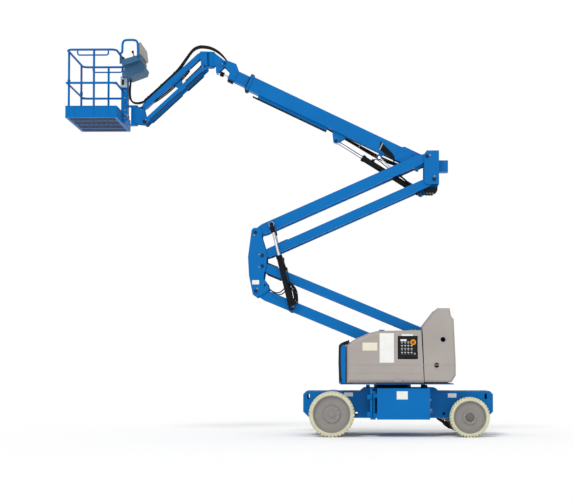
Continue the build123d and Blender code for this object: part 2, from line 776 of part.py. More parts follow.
# side plates of the mid upright, measured from the lower arm's end
mid_outline = (
    (-65, 879),
    (-38, 913),
    (47, 913),
    (85, 864),
    (79, 789),
    (137, 600),
    (155, 504),
    (151, 369),
    (121, 269),
    (108, 180),
    (166, 108),
    (187, 21),
    (87, -59),
    (2, -86),
    (-45, -51),
    (-101, 226),
    (-115, 496),
)
mid_back = (
    (-89, 169),
    (-101, 226),
    (-115, 496),
    (-100, 629),
    (-90, 629),
    (-105, 496),
    (-91, 226),
    (-79, 169),
)
with BuildPart() as mid_upright:
    plates = [offset_point(lower_end, p) for p in mid_outline]
    for side, _ in sides:
        slab(level_plane(side * (upright_in + upright_out) / 2), plates, upright_wall)
    slab(level_plane(0), [offset_point(lower_end, p) for p in mid_back], 2 * upright_in)
    for at in (lower_end, lower_link_end, upper_link_start):
        bar(-upright_out - 6, upright_out + 6, at, arm_pin_radius)
    for side, _ in sides:
        bar(*sided(arm_in - 4, upright_out + 6, side), mid_pivot, arm_pin_radius)
write(mid_upright.part, "mid_upright")

upper_plane = arm_plane(mid_pivot, upper_slope, RIGHT)
with BuildPart() as upper_arm:
    add(arm_pair(upper_plane, upper_length, arm_depth, arm_eye_radius))
    for side, _ in sides:
        bar(*sided(arm_out, 208, side), lift_top, 34)
write(upper_arm.part, "upper_arm")

upper_link_plane = arm_plane(upper_link_start, upper_slope, RIGHT)
with BuildPart() as upper_link:
    add(arm_pair(upper_link_plane, upper_length, link_depth, arm_eye_radius))
    bar(-arm_in, arm_in, arm_point(upper_link_start, upper_slope, RIGHT, 500), tie_radius)
write(upper_link.part, "upper_link")

lug_in, lug_out = 52.0, 62.0
riser_left = riser_pivot[0] - 42
riser_right = riser_pivot[0] + 172
riser_top = riser_pivot[1] + 84
riser_foot = riser_pivot[1] - 404
with BuildPart() as riser:
    for side, _ in sides:
        slab(
            level_plane(side * (upright_in + upright_out) / 2),
            (
                (riser_left, riser_foot + 30),
                (riser_left, riser_top - 50),
                (riser_left + 36, riser_top),
                (riser_right, riser_top),
                (riser_right, riser_foot),
                (riser_left + 30, riser_foot),
            ),
            upright_wall,
        )
    block((riser_right - 12, -upright_in, riser_foot), (riser_right, upright_in, riser_top))
    block((riser_right, -80, riser_top - 296), (riser_right + 136, 80, riser_top - 128))
    foot = boom_cylinder_foot
    for side, _ in sides:
        lug_plane = level_plane(side * (lug_in + lug_out) / 2)
        slab(
            lug_plane,
            (
                (riser_right - 6, riser_foot + 150),
                (riser_right - 6, riser_foot + 4),
                (foot[0] + 10, foot[1] - 40),
                (foot[0] - 40, foot[1]),
                (foot[0] - 20, foot[1] + 45),
                (foot[0] + 130, foot[1] + 150),
            ),
            lug_out - lug_in,
        )
    bar(-lug_out - 6, lug_out + 6, foot, 20)
    bar(-lug_out - 38, -lug_out, master_foot, 9)
    bar(-upright_out - 6, upright_out + 6, riser_pivot, arm_pin_radius)
    bar(-upright_out - 6, upright_out + 6, upper_link_end, arm_pin_radius)
write(riser.part, "riser")


# ---------------------------------------------------------------- hydraulic cylinders
def cylinder(name, y, radius, rod_radius, eye_radius, eye_half, pin_radius, pin_half):
    start, end, barrel_share, travel_in = cylinders[name]
    slope, length = heading(start, end)
    plane = arm_plane(start, slope, LEFT, y)
    barrel = cylinder_barrel(plane, length * barrel_share, radius, rod_radius, eye_radius, eye_half, pin_radius)
    rod_start = pin_radius + barrel_end_wall + clear_gap + travel_in
    rod = cylinder_rod(plane, rod_start, length, rod_radius, eye_radius, eye_half, pin_half)
    return barrel, rod


with BuildPart() as lift_barrels:
    for side, _ in sides:
        add(cylinder("lift", side * lift_y, lift_barrel_radius, lift_rod_radius, 42, 44, 18, 34)[0])
write(lift_barrels.part, "lift_barrels")
with BuildPart() as lift_rods:
    for side, _ in sides:
        add(cylinder("lift", side * lift_y, lift_barrel_radius, lift_rod_radius, 36, 30, 18, 34)[1])
write(lift_rods.part, "lift_rods")

# single cylinders: name, y, barrel radius, rod radius, eye radius, eye half width, pin radius, pin half width
single_cylinders = (
    ("boom", 0.0, boom_barrel_radius, boom_rod_radius, 38.0, 34.0, 20.0, 36.0),
    ("master", master_y, master_barrel_radius, master_rod_radius, 18.0, 12.0, 9.0, 12.0),
    ("slave", 0.0, slave_barrel_radius, slave_rod_radius, 22.0, 22.0, 12.0, 24.0),
    ("jib", 0.0, jib_barrel_radius, jib_rod_radius, 25.0, 24.0, 12.0, 26.0),
)
for name, y, radius, rod_radius, eye_radius, eye_half, pin_radius, pin_half in single_cylinders:
    barrel, rod = cylinder(name, y, radius, rod_radius, eye_radius, eye_half, pin_radius, pin_half)
    write(barrel, f"{name}_barrel")
    write(rod, f"{name}_rod")


# ---------------------------------------------------------------- boom
boom_plane = arm_plane(riser_pivot, boom_slope, LEFT)
boom_low = boom_top - boom_depth
boom_middle = boom_top - boom_depth / 2
extension_top = boom_middle + extension_depth / 2
extension_low = boom_middle - extension_depth / 2
tube_start = 30.0
collar = 40.0
pad_gap = running_gap
tray_start = boom_length * 0.53
tray_end = boom_length - 210
tray_depth = 45.0
tray_half = 45.0
tray_sheet = 4.0
cylinder_window = 620.0  # slot in the underside that the raised boom lets down over its cylinder


def box_points(s_from, s_to, n_from, n_to):
    return ((s_from, n_from), (s_to, n_from), (s_to, n_to), (s_from, n_to))


with BuildPart() as boom:
    slab(boom_plane, box_points(tube_start, boom_length, boom_low, boom_top), 2 * boom_half)
    slab(
        boom_plane,
        box_points(boom_length - collar, boom_length, boom_low - 14, boom_top + 14),
        2 * boom_half + 24,
    )
    for side, _ in sides:
        # reinforcing plates about the pivot
        slab(
            boom_plane.offset(side * (boom_half + 5)),
            (
                (-50, 0),
                (0, 48),
                (90, 0),
                (352, 0),
                (410, boom_top - 14),
                (410, boom_low),
                (70, boom_low),
                (-50, -100),
            ),
            10,
        )
        # lugs that take the lift cylinder's eye
        slab(
            boom_plane.offset(side * 49),
            (
                (boom_cylinder_reach - 120, boom_low + 2),
                (boom_cylinder_reach - 40, boom_cylinder_drop - 10),
                (boom_cylinder_reach - 22, boom_cylinder_drop - 34),
                (boom_cylinder_reach + 22, boom_cylinder_drop - 34),
                (boom_cylinder_reach + 40, boom_cylinder_drop - 10),
                (boom_cylinder_reach + 120, boom_low + 2),
            ),
            14,
        )
    slab(
        boom_plane.offset(-59),
        (
            (master_reach - 40, boom_low + 2),
            (master_reach - 20, master_drop - 16),
            (master_reach + 20, master_drop - 16),
            (master_reach + 40, boom_low + 2),
        ),
        10,
    )
    # cable tray under the front half
    slab(boom_plane, box_points(tray_start, tray_end, boom_low - tray_depth, boom_low), 2 * tray_half)
    slab(
        boom_plane,
        box_points(tray_start - 100, tray_end + 100, boom_low - tray_depth + tray_sheet, boom_low - tray_sheet),
        2 * (tray_half - tray_sheet),
        mode=Mode.SUBTRACT,
    )
    slab(
        boom_plane,
        box_points(tube_start - 200, boom_length + 1, boom_low + boom_wall, boom_top - boom_wall),
        2 * (boom_half - boom_wall),
        mode=Mode.SUBTRACT,
    )
    slab(
        boom_plane,
        box_points(tube_start - 1, cylinder_window, boom_low - 1, boom_low + boom_wall + 1),
        2 * (boom_barrel_radius + clear_gap),
        mode=Mode.SUBTRACT,
    )
    bar(-boom_half - 15, boom_half + 15, riser_pivot, 44)
    bar(-boom_half - 20, boom_half + 20, riser_pivot, arm_pin_radius + running_gap, mode=Mode.SUBTRACT)
    # wear pads that the extension slides on
    slab(
        boom_plane,
        box_points(boom_length - collar, boom_length - 2, boom_low + boom_wall, boom_top - boom_wall),
        2 * (boom_half - boom_wall),
    )
    slab(
        boom_plane,
        box_points(boom_length - 200, boom_length + 1, extension_low - pad_gap, extension_top + pad_gap),
        2 * (extension_half + pad_gap),
        mode=Mode.SUBTRACT,
    )
write(boom.part, "boom")

with BuildPart() as boom_extension:
    slab(boom_plane, box_points(extension_from, extension_to, extension_low, extension_top), 2 * extension_half)
    # rear pads
    slab(
        boom_plane,
        box_points(
            extension_from, extension_from + 60, boom_low + boom_wall + pad_gap, boom_top - boom_wall - pad_gap
        ),
        2 * (boom_half - boom_wall - pad_gap),
    )
    for side, _ in sides:
        # horn plates that carry the jib's bracket
        slab(
            boom_plane.offset(side * (extension_half + 5)),
            (
                (extension_to - 104, extension_top + 4),
                (extension_to - 28, 40),
                (jib_pivot_reach - 20, 30),
                (jib_pivot_reach + 24, jib_pivot_rise + 34),
                (jib_pivot_reach + 40, jib_pivot_rise),
                (jib_pivot_reach + 24, jib_pivot_rise - 34),
                (jib_pivot_reach - 40, jib_pivot_rise - 50),
                (jib_pivot_reach - 110, jib_pivot_rise - 80),
                (extension_to - 44, extension_low + 12),
                (extension_to - 104, extension_low + 10),
            ),
            10,
        )
    slab(
        boom_plane,
        box_points(extension_from - 1, extension_to + 1, extension_low + boom_wall, extension_top - boom_wall),
        2 * (extension_half - boom_wall),
        mode=Mode.SUBTRACT,
    )
    bar(-extension_half - 16, extension_half + 16, bracket_pivot, 20)
    bar(-extension_half + boom_wall, extension_half - boom_wall, slave_foot, 12)
write(boom_extension.part, "boom_extension")

# ---------------------------------------------------------------- jib
bracket_in, bracket_out = 34.0, 48.0
cheek_in, cheek_out = 56.0, 68.0
swing_axis_at = (swing_axis[0], 0)
drum_low = swing_axis[1] - drum_height / 2
drum_high = swing_axis[1] + drum_height / 2
with BuildPart() as jib_bracket:
    for side, _ in sides:
        slab(
            level_plane(side * (bracket_in + bracket_out) / 2),
            (
                (swing_axis[0], drum_high - 10),
                (swing_axis[0] + 60, drum_high - 10),
                (bracket_pivot[0] + 10, bracket_pivot[1] + 36),
                (bracket_pivot[0] + 34, bracket_pivot[1]),
                (bracket_pivot[0] + 10, bracket_pivot[1] - 34),
                (slave_head[0] + 30, slave_head[1]),
                (slave_head[0] + 14, slave_head[1] - 24),
                (slave_head[0] - 14, slave_head[1] - 24),
                (slave_head[0] - 18, slave_head[1] + 10),
                (swing_axis[0] + cheek_in + 12, drum_low - 22),
                (swing_axis[0] + cheek_in + 10, drum_low + 12),
                (swing_axis[0], drum_low + 12),
            ),
            bracket_out - bracket_in,
        )
    post(drum_low, drum_high, swing_axis_at, drum_radius)
    bar(-extension_half + running_gap, extension_half - running_gap, bracket_pivot, 34)
    bar(-extension_half - 20, extension_half + 20, bracket_pivot, 20 + running_gap, mode=Mode.SUBTRACT)
    post(drum_low - 20, drum_high + 20, swing_axis_at, swing_pin_radius + running_gap, mode=Mode.SUBTRACT)
write(jib_bracket.part, "jib_bracket")

yoke_thick = 16.0
yoke_low = drum_low - 2 * running_gap
yoke_high = drum_high + 2 * running_gap
with BuildPart() as jib_knuckle:
    for z in (yoke_low - yoke_thick, yoke_high):
        post(z, z + yoke_thick, swing_axis_at, 46)
        block((swing_axis[0] - 85, -cheek_in, z), (swing_axis[0], cheek_in, z + yoke_thick))
    for side, _ in sides:
        slab(
            level_plane(side * (cheek_in + cheek_out) / 2),
            (
                (swing_axis[0] - 58, yoke_high + yoke_thick),
                (jib_pivot[0] - 24, yoke_high + yoke_thick),
                (jib_pivot[0] - 40, jib_pivot[1]),
                (jib_pivot[0] - 26, jib_pivot[1] - 36),
                (swing_axis[0] - 142, yoke_low - 40),
                (jib_link_start[0] - 26, jib_link_start[1] - 30),
                (jib_link_start[0] + 26, jib_link_start[1] - 30),
                (swing_axis[0] - 52, yoke_low + 10),
            ),
            cheek_out - cheek_in,
        )
        bar(*sided(cheek_in, jib_link_out + 6, side), jib_link_start, jib_pin_radius)
    post(yoke_low - yoke_thick, yoke_high + yoke_thick, swing_axis_at, swing_pin_radius)
    bar(-cheek_out - 6, cheek_out + 6, jib_pivot, jib_pin_radius)
    bar(-cheek_out - 4, cheek_out + 4, jib_cylinder_foot, 12)
write(jib_knuckle.part, "jib_knuckle")

jib_plane = arm_plane(jib_pivot, jib_slope, LEFT)
with BuildPart() as jib_arm:
    slab(jib_plane, box_points(40, jib_length - 40, -jib_depth / 2, jib_depth / 2), 2 * jib_half)
    slab(
        jib_plane,
        box_points(38, jib_length - 38, jib_wall - jib_depth / 2, jib_depth / 2 - jib_wall),
        2 * (jib_half - jib_wall),
        mode=Mode.SUBTRACT,
    )
    for reach in (0, jib_length):
        end_side = 1 if reach else -1
        slab(jib_plane, box_points(reach - end_side * 60, reach - end_side * 30, -30, 30), 2 * jib_half)
        for side, _ in sides:
            slab(
                jib_plane.offset(side * (jib_half - 8)),
                box_points(min(reach, reach - end_side * 60), max(reach, reach - end_side * 60), -30, 30),
                16,
            )
            bar(*sided(jib_half - 16, jib_half, side), arm_point(jib_pivot, jib_slope, LEFT, reach), 30)
        pin_at = arm_point(jib_pivot, jib_slope, LEFT, reach)
        bar(-jib_half - 1, jib_half + 1, pin_at, jib_pin_radius + running_gap, mode=Mode.SUBTRACT)
    # slot in the underside that the raised jib lets down over its cylinder
    slab(
        jib_plane,
        box_points(36, 260, -jib_depth / 2 - 1, jib_wall + 2 - jib_depth / 2),
        2 * (jib_barrel_radius + clear_gap),
        mode=Mode.SUBTRACT,
    )
    for side, _ in sides:
        slab(
            jib_plane.offset(side * 37),
            (
                (jib_cylinder_reach - 90, -jib_depth / 2 + 2),
                (jib_cylinder_reach - 26, jib_cylinder_drop - 16),
                (jib_cylinder_reach + 26, jib_cylinder_drop - 16),
                (jib_cylinder_reach + 90, -jib_depth / 2 + 2),
            ),
            10,
        )
write(jib_arm.part, "jib_arm")

jib_link_plane = arm_plane(jib_link_start, jib_slope, LEFT)
with BuildPart() as jib_links:
    for side, _ in sides:
        middle = side * (jib_link_in + jib_link_out) / 2
        with BuildSketch(jib_link_plane.offset(middle)) as face:
            with Locations((jib_length / 2, 0)):
                SlotCenterToCenter(jib_length, jib_link_depth)
            with Locations((0, 0), (jib_length, 0)):
                Circle(jib_pin_radius + running_gap, mode=Mode.SUBTRACT)
        extrude(face.sketch, amount=(jib_link_out - jib_link_in) / 2, both=True)
write(jib_links.part, "jib_links")

# ---------------------------------------------------------------- platform
rotator_low = jib_link_end[1] - 20
rotator_high = jib_end[1] + 30
rotator_at = (rotator_axis_x, 0)
with BuildPart() as platform_mount:
    post(rotator_low, rotator_high, rotator_at, rotator_radius)
    for side, _ in sides:
        slab(
            level_plane(side * (cheek_in + cheek_out) / 2),
            (
                (rotator_axis_x + 20, rotator_high - 20),
                (jib_end[0] + 10, jib_end[1] + 26),
                (jib_end[0] + 28, jib_end[1] - 6),
                (jib_link_end[0] + 26, jib_link_end[1] + 10),
                (jib_link_end[0] + 10, jib_link_end[1] - 28),
                (rotator_axis_x + 20, rotator_low + 10),
            ),
            cheek_out - cheek_in,
        )
        bar(*sided(cheek_in, jib_link_out + 6, side), jib_link_end, jib_pin_radius)
    block((rotator_axis_x, -cheek_in, rotator_low + 20), (rotator_axis_x + 62, cheek_in, rotator_high - 30))
    bar(-cheek_out - 6, cheek_out + 6, jib_end, jib_pin_radius)
    post(rotator_low - 1, rotator_high + 1, rotator_at, rotator_pin_radius + running_gap, mode=Mode.SUBTRACT)
write(platform_mount.part, "platform_mount")

toe_height = 168.0
toe_wall = 6.0
upright_sheet = 6.0
floor_sheet = 6.0
floor_beam = 34.0
grip_radius = 11.0
grip_drop = 78.0
door_inset = 130.0
inner_x = platform_inner_x
outer_x = platform_outer_x
floor_top = platform_underside + 40
top_rail = platform_top - rail_radius
console_seat = platform_top - 330
mid_rail = platform_underside + 500
rail_inset = rail_radius + 2
rail_in_x = inner_x - rail_inset
rail_out_x = outer_x + rail_inset
rail_y = platform_half - rail_inset
door_y = rail_y - door_inset
post_middle_x = (rail_in_x + rail_out_x) / 2 + 35


def bent_tube(points, bend, radius):
    # a tube bent along straight runs
    with BuildLine() as path:
        FilletPolyline(*points, radius=bend)
    start = path.line @ 0
    with BuildSketch(Plane(origin=start, z_dir=path.line % 0)) as section:
        Circle(radius)
    sweep(section.sketch, path=path.line)


with BuildPart() as platform:
    bent_tube(
        (
            (rail_in_x, -4, top_rail),
            (rail_in_x, -rail_y, top_rail),
            (rail_out_x, -rail_y, top_rail),
            (rail_out_x, rail_y, top_rail),
            (rail_in_x, rail_y, top_rail),
            (rail_in_x, 4, top_rail),
        ),
        75,
        rail_radius,
    )
    bent_tube(
        (
            (rail_out_x, -door_y, mid_rail),
            (rail_out_x, -rail_y, mid_rail),
            (rail_in_x, -rail_y, mid_rail),
            (rail_in_x, rail_y, mid_rail),
            (rail_out_x, rail_y, mid_rail),
            (rail_out_x, door_y, mid_rail),
        ),
        75,
        rail_radius,
    )
    for side, _ in sides:
        strut((rail_out_x, side * door_y, platform_underside + 60), (rail_out_x, side * door_y, top_rail), rail_radius)
        strut(
            (post_middle_x, side * rail_y, platform_underside + 60),
            (post_middle_x, side * rail_y, top_rail),
            rail_radius,
        )
        bent_tube(
            (
                (rail_out_x + 150, side * rail_y, top_rail),
                (rail_out_x + 150, side * rail_y, top_rail - grip_drop),
                (rail_in_x - 110, side * rail_y, top_rail - grip_drop),
                (rail_in_x - 110, side * rail_y, top_rail),
            ),
            30,
            grip_radius,
        )
        y_low, y_high = sorted(sided(platform_half - toe_wall, platform_half, side))
        block((outer_x, y_low, platform_underside), (inner_x, y_high, platform_underside + toe_height))
    for x_low in (outer_x, inner_x - toe_wall):
        block(
            (x_low, -platform_half + toe_wall, platform_underside),
            (x_low + toe_wall, platform_half - toe_wall, platform_underside + toe_height),
        )
    # upright that hangs the platform from the rotator
    block((inner_x - 30, -70, platform_underside + 42), (inner_x + 62, 70, console_seat))
    block(
        (inner_x - 30 + upright_sheet, -70 + upright_sheet, platform_underside + 42 + upright_sheet),
        (inner_x + 62 - upright_sheet, 70 - upright_sheet, console_seat - upright_sheet),
        mode=Mode.SUBTRACT,
    )
    block((rail_in_x - 8, -22, console_seat - 10), (rail_in_x + 8, 22, top_rail))
    block((rail_in_x - 20, -26, top_rail - 20), (rail_in_x + 20, 26, top_rail + 20))
    for z in (rotator_low - 2 * running_gap - 16, rotator_high + 2 * running_gap):
        block((inner_x + 52, -48, z), (rotator_axis_x, 48, z + 16))
        post(z, z + 16, rotator_at, 48)
    post(rotator_low - 16, rotator_high + 16, rotator_at, rotator_pin_radius)
write(platform.part, "platform")

with BuildPart() as platform_floor:
    floor_from = outer_x + toe_wall
    floor_to = inner_x - toe_wall
    floor_y = platform_half - toe_wall
    block((floor_from, -floor_y, floor_top - floor_sheet), (floor_to, floor_y, floor_top))
    # beams under the tread plate
    for y in (-floor_y, -330, -floor_beam / 2, 330 - floor_beam, floor_y - floor_beam):
        block((floor_from, y, platform_underside), (floor_to, y + floor_beam, floor_top - floor_sheet))
    for x in (floor_from, floor_to - floor_beam):
        block((x, -floor_y, platform_underside), (x + floor_beam, floor_y, floor_top - floor_sheet))
    for side, _ in sides:
        for post_at in ((rail_out_x, side * door_y), (post_middle_x, side * rail_y)):
            post(platform_underside + 5, floor_top + 1, post_at, rail_radius + 1, mode=Mode.SUBTRACT)
write(platform_floor.part, "platform_floor")

gate_sleeve = 50.0
with BuildPart() as gate:
    strut((rail_out_x, -door_y + 18, mid_rail), (rail_out_x, door_y - 18, mid_rail), 14)
    for side, _ in sides:
        sleeve_at = (rail_out_x, side * door_y)
        z = mid_rail + rail_radius + clear_gap
        post(z, z + gate_sleeve, sleeve_at, rail_radius + 6)
        strut((rail_out_x, side * (door_y - 36), mid_rail), (rail_out_x, side * (door_y - 36), z + 44), 10)
        strut((rail_out_x, side * (door_y - 36), z + 30), (rail_out_x, side * (door_y - 14), z + 30), 8)
        post(z - 1, z + gate_sleeve + 1, sleeve_at, rail_radius + running_gap, mode=Mode.SUBTRACT)
write(gate.part, "gate")

with BuildPart() as platform_controls:
    slab(
        level_plane(0),
        (
            (inner_x + 4, console_seat),
            (inner_x + 60, platform_top - 90),
            (inner_x + 240, platform_top - 40),
            (inner_x + 340, platform_top - 180),
            (inner_x + 320, platform_top - 250),
            (inner_x + 100, console_seat),
        ),
        380,
    )
write(platform_controls.part, "platform_controls")
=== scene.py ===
import json
import math

import bmesh
import bpy
from mathutils import Matrix, Vector


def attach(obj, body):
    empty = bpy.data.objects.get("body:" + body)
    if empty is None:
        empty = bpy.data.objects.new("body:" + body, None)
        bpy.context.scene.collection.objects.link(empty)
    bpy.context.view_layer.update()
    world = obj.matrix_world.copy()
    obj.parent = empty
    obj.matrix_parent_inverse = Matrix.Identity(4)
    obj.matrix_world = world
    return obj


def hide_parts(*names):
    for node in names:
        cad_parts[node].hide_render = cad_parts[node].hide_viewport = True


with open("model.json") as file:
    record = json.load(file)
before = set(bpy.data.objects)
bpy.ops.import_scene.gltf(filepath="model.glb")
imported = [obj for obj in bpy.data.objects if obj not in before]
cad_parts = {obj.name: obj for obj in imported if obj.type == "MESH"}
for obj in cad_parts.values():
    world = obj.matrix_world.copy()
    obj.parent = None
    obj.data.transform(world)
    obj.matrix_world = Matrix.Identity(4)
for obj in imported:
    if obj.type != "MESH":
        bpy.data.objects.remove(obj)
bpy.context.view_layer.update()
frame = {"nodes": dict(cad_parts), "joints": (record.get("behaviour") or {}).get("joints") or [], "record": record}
nodes = frame["nodes"]
record = frame["record"]
left, right = -1, 1

# every joint's place, in metres: the pieces are set out from these pivots
pivots = {joint["name"]: Vector(joint["pos_m"]) for joint in frame["joints"] if "pos_m" in joint}


# ---- small helpers

def toLinear(hexText):
    # an sRGB hex colour as linear red, green, blue and alpha
    parts = [int(hexText[i:i + 2], 16) / 255 for i in (1, 3, 5)]
    return tuple(c / 12.92 if c <= 0.04045 else ((c + 0.055) / 1.055) ** 2.4 for c in parts) + (1.0,)


def addNode(tree, kind, settings=None, links=None):
    # one shader node: settings set its own values or its sockets, links join sockets to other nodes' outputs
    node = tree.nodes.new(kind)
    for key, value in (settings or {}).items():
        if key in node.inputs:
            node.inputs[key].default_value = value
        else:
            setattr(node, key, value)
    for key, source in (links or {}).items():
        tree.links.new(source, node.inputs[key])
    return node


def finishPiece(name, shape, material, body, bevelWidth=0.0, smoothAngle=35, replaced=()):
    # makes the bmesh an object at the origin, rides it on its body and gives it its finish
    bmesh.ops.remove_doubles(shape, verts=shape.verts, dist=1e-6)
    bmesh.ops.recalc_face_normals(shape, faces=shape.faces)
    mesh = bpy.data.meshes.new(name)
    shape.to_mesh(mesh)
    shape.free()
    piece = bpy.data.objects.new(name, mesh)
    bpy.context.scene.collection.objects.link(piece)
    mesh.materials.append(material)
    for face in mesh.polygons:
        face.use_smooth = True
    mesh.set_sharp_from_angle(angle=math.radians(smoothAngle))
    if bevelWidth:
        bevel = piece.modifiers.new("Bevel", "BEVEL")
        bevel.width = bevelWidth
        bevel.segments = 2
        bevel.limit_method = "ANGLE"
        bevel.harden_normals = True
    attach(piece, body)
    if replaced:
        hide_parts(*replaced)
    return piece


def addBox(shape, low, high):
    centre = (Vector(low) + Vector(high)) / 2
    size = Vector(high) - Vector(low)
    spot = Matrix.Translation(centre) @ Matrix.Diagonal((*(abs(v) for v in size), 1))
    bmesh.ops.create_cube(shape, size=1, matrix=spot)


def addRod(shape, start, end, radius, endRadius=None, segments=24):
    start, end = Vector(start), Vector(end)
    run = end - start
    turn = run.to_track_quat("Z", "Y").to_matrix().to_4x4()
    bmesh.ops.create_cone(
        shape, cap_ends=True, segments=segments, radius1=radius, radius2=radius if endRadius is None else endRadius,
        depth=run.length, matrix=Matrix.Translation((start + end) / 2) @ turn)


def addPlate(shape, outline, yFrom, yTo):
    # a closed outline in x and z, pushed out along y
    corners = [shape.verts.new((x, yFrom, z)) for x, z in outline]
    face = shape.faces.new(corners)
    pushed = bmesh.ops.extrude_face_region(shape, geom=[face])
    moved = [v for v in pushed["geom"] if isinstance(v, bmesh.types.BMVert)]
    bmesh.ops.translate(shape, verts=moved, vec=(0, yTo - yFrom, 0))


def onSide(side, spot):
    # a point whose y runs outwards on this side
    return Vector((spot[0], side * spot[1], spot[2]))


def addSideBox(shape, side, low, high):
    addBox(shape, onSide(side, low), onSide(side, high))


def addSideRod(shape, side, start, end, radius, endRadius=None, segments=24):
    addRod(shape, onSide(side, start), onSide(side, end), radius, endRadius, segments)


def addSidePlate(shape, side, outline, yRange):
    addPlate(shape, outline, side * yRange[0], side * yRange[1])


def addBolt(shape, centre, direction, radius, height):
    # a hexagon head on a washer
    centre, direction = Vector(centre), Vector(direction).normalized()
    addRod(shape, centre, centre + direction * height * 0.25, radius * 1.3, segments=16)
    addRod(shape, centre + direction * height * 0.25, centre + direction * height, radius, segments=6)


def makeHoses(name, runs, radius, material, body):
    # hoses or bent tubes, each along a smooth line through its points
    curve = bpy.data.curves.new(name, "CURVE")
    curve.dimensions = "3D"
    for points in runs:
        spline = curve.splines.new("NURBS")
        spline.points.add(len(points) - 1)
        for spot, at in zip(spline.points, points):
            spot.co = (*at, 1)
        spline.order_u = 4 if len(points) > 3 else 3
        spline.use_endpoint_u = True
        spline.resolution_u = 5
    curve.bevel_depth = radius
    curve.bevel_resolution = 3
    curve.use_fill_caps = True
    carrier = bpy.data.objects.new(name + "_line", curve)
    bpy.context.scene.collection.objects.link(carrier)
    mesh = bpy.data.meshes.new_from_object(carrier.evaluated_get(bpy.context.evaluated_depsgraph_get()))
    bpy.data.objects.remove(carrier)
    shape = bmesh.new()
    shape.from_mesh(mesh)
    bpy.data.meshes.remove(mesh)
    return finishPiece(name, shape, material, body)


# ---- materials

def startMaterial(name, colour, roughness, metallic=0.0):
    material = bpy.data.materials.new(name)
    material.use_nodes = True
    tree = material.node_tree
    shader = tree.nodes["Principled BSDF"]
    shader.inputs["Base Color"].default_value = toLinear(colour)
    shader.inputs["Roughness"].default_value = roughness
    shader.inputs["Metallic"].default_value = metallic
    place = addNode(tree, "ShaderNodeTexCoord")
    return material, tree, shader, place.outputs["Object"]


def varyColour(tree, shader, place, light, dark, patchSize, low=0.35, high=0.75, detail=4.0):
    # broad patches between two close tones, patchSize in metres
    cloud = addNode(tree, "ShaderNodeTexNoise", {"Scale": 1 / patchSize, "Detail": detail, "Roughness": 0.6},
                    {"Vector": place})
    ramp = addNode(tree, "ShaderNodeValToRGB", None, {"Fac": cloud.outputs["Fac"]})
    ramp.color_ramp.elements[0].position = low
    ramp.color_ramp.elements[1].position = high
    ramp.color_ramp.elements[0].color = toLinear(dark)
    ramp.color_ramp.elements[1].color = toLinear(light)
    tree.links.new(ramp.outputs["Color"], shader.inputs["Base Color"])


def varyRoughness(tree, shader, place, size, low, high):
    cloud = addNode(tree, "ShaderNodeTexNoise", {"Scale": 1 / size, "Detail": 3.0}, {"Vector": place})
    span = addNode(tree, "ShaderNodeMapRange", {"To Min": low, "To Max": high}, {"Value": cloud.outputs["Fac"]})
    tree.links.new(span.outputs["Result"], shader.inputs["Roughness"])


def addBump(tree, shader, height, strength, distance):
    bump = addNode(tree, "ShaderNodeBump", {"Strength": strength, "Distance": distance}, {"Height": height})
    tree.links.new(bump.outputs["Normal"], shader.inputs["Normal"])


def machineEnamel(name, light, dark, roughness, coat=0.0):
    # sprayed and baked enamel on steel plate: even colour, a soft gloss and a faint orange peel
    material, tree, shader, place = startMaterial(name, light, roughness)
    varyColour(tree, shader, place, light, dark, 0.6)
    varyRoughness(tree, shader, place, 0.25, roughness - 0.05, roughness + 0.08)
    peel = addNode(tree, "ShaderNodeTexNoise", {"Scale": 1 / 0.008, "Detail": 2.0}, {"Vector": place})
    addBump(tree, shader, peel.outputs["Fac"], 0.12, 0.0012)  # peel is about 2 mm across, drawn at 8 mm so it shows
    shader.inputs["IOR"].default_value = 1.5
    shader.inputs["Specular IOR Level"].default_value = 0.08
    shader.inputs["Coat Weight"].default_value = coat
    shader.inputs["Coat Roughness"].default_value = 0.12
    return material


def steelSheetCover(name, light, dark):
    # pressed sheet-steel covers, powder-coated a satin warm grey with a fine grain
    material, tree, shader, place = startMaterial(name, light, 0.42)
    varyColour(tree, shader, place, light, dark, 0.5)
    varyRoughness(tree, shader, place, 0.3, 0.38, 0.5)
    grain = addNode(tree, "ShaderNodeTexNoise", {"Scale": 1 / 0.004, "Detail": 3.0}, {"Vector": place})
    addBump(tree, shader, grain.outputs["Fac"], 0.1, 0.0008)  # grain of about 1 mm, drawn at 4 mm
    shader.inputs["IOR"].default_value = 1.5
    shader.inputs["Specular IOR Level"].default_value = 0.3
    return material


def nonMarkingRubber(name, light, dark):
    # moulded tyre rubber with a chalk filler: matte cream, scuffed a little darker
    material, tree, shader, place = startMaterial(name, light, 0.78)
    varyColour(tree, shader, place, light, dark, 0.09, 0.3, 0.7, 6.0)
    grit = addNode(tree, "ShaderNodeTexNoise", {"Scale": 1 / 0.006, "Detail": 4.0}, {"Vector": place})
    addBump(tree, shader, grit.outputs["Fac"], 0.25, 0.0015)
    shader.inputs["IOR"].default_value = 1.52
    shader.inputs["Specular IOR Level"].default_value = 0.35
    return material


def hardChrome(name, light, dark):
    # ground and hard-chromed piston rod: mirror bright with fine turning lines
    material, tree, shader, place = startMaterial(name, light, 0.14, 1.0)
    varyColour(tree, shader, place, light, dark, 0.12)
    varyRoughness(tree, shader, place, 0.05, 0.08, 0.2)
    return material


def rolledSteel(name, light, dark, roughness=0.42):
    # bare rolled or zinc-plated steel, brushed by handling
    material, tree, shader, place = startMaterial(name, light, roughness, 0.9)
    varyColour(tree, shader, place, light, dark, 0.06)
    varyRoughness(tree, shader, place, 0.03, roughness - 0.1, roughness + 0.1)
    return material


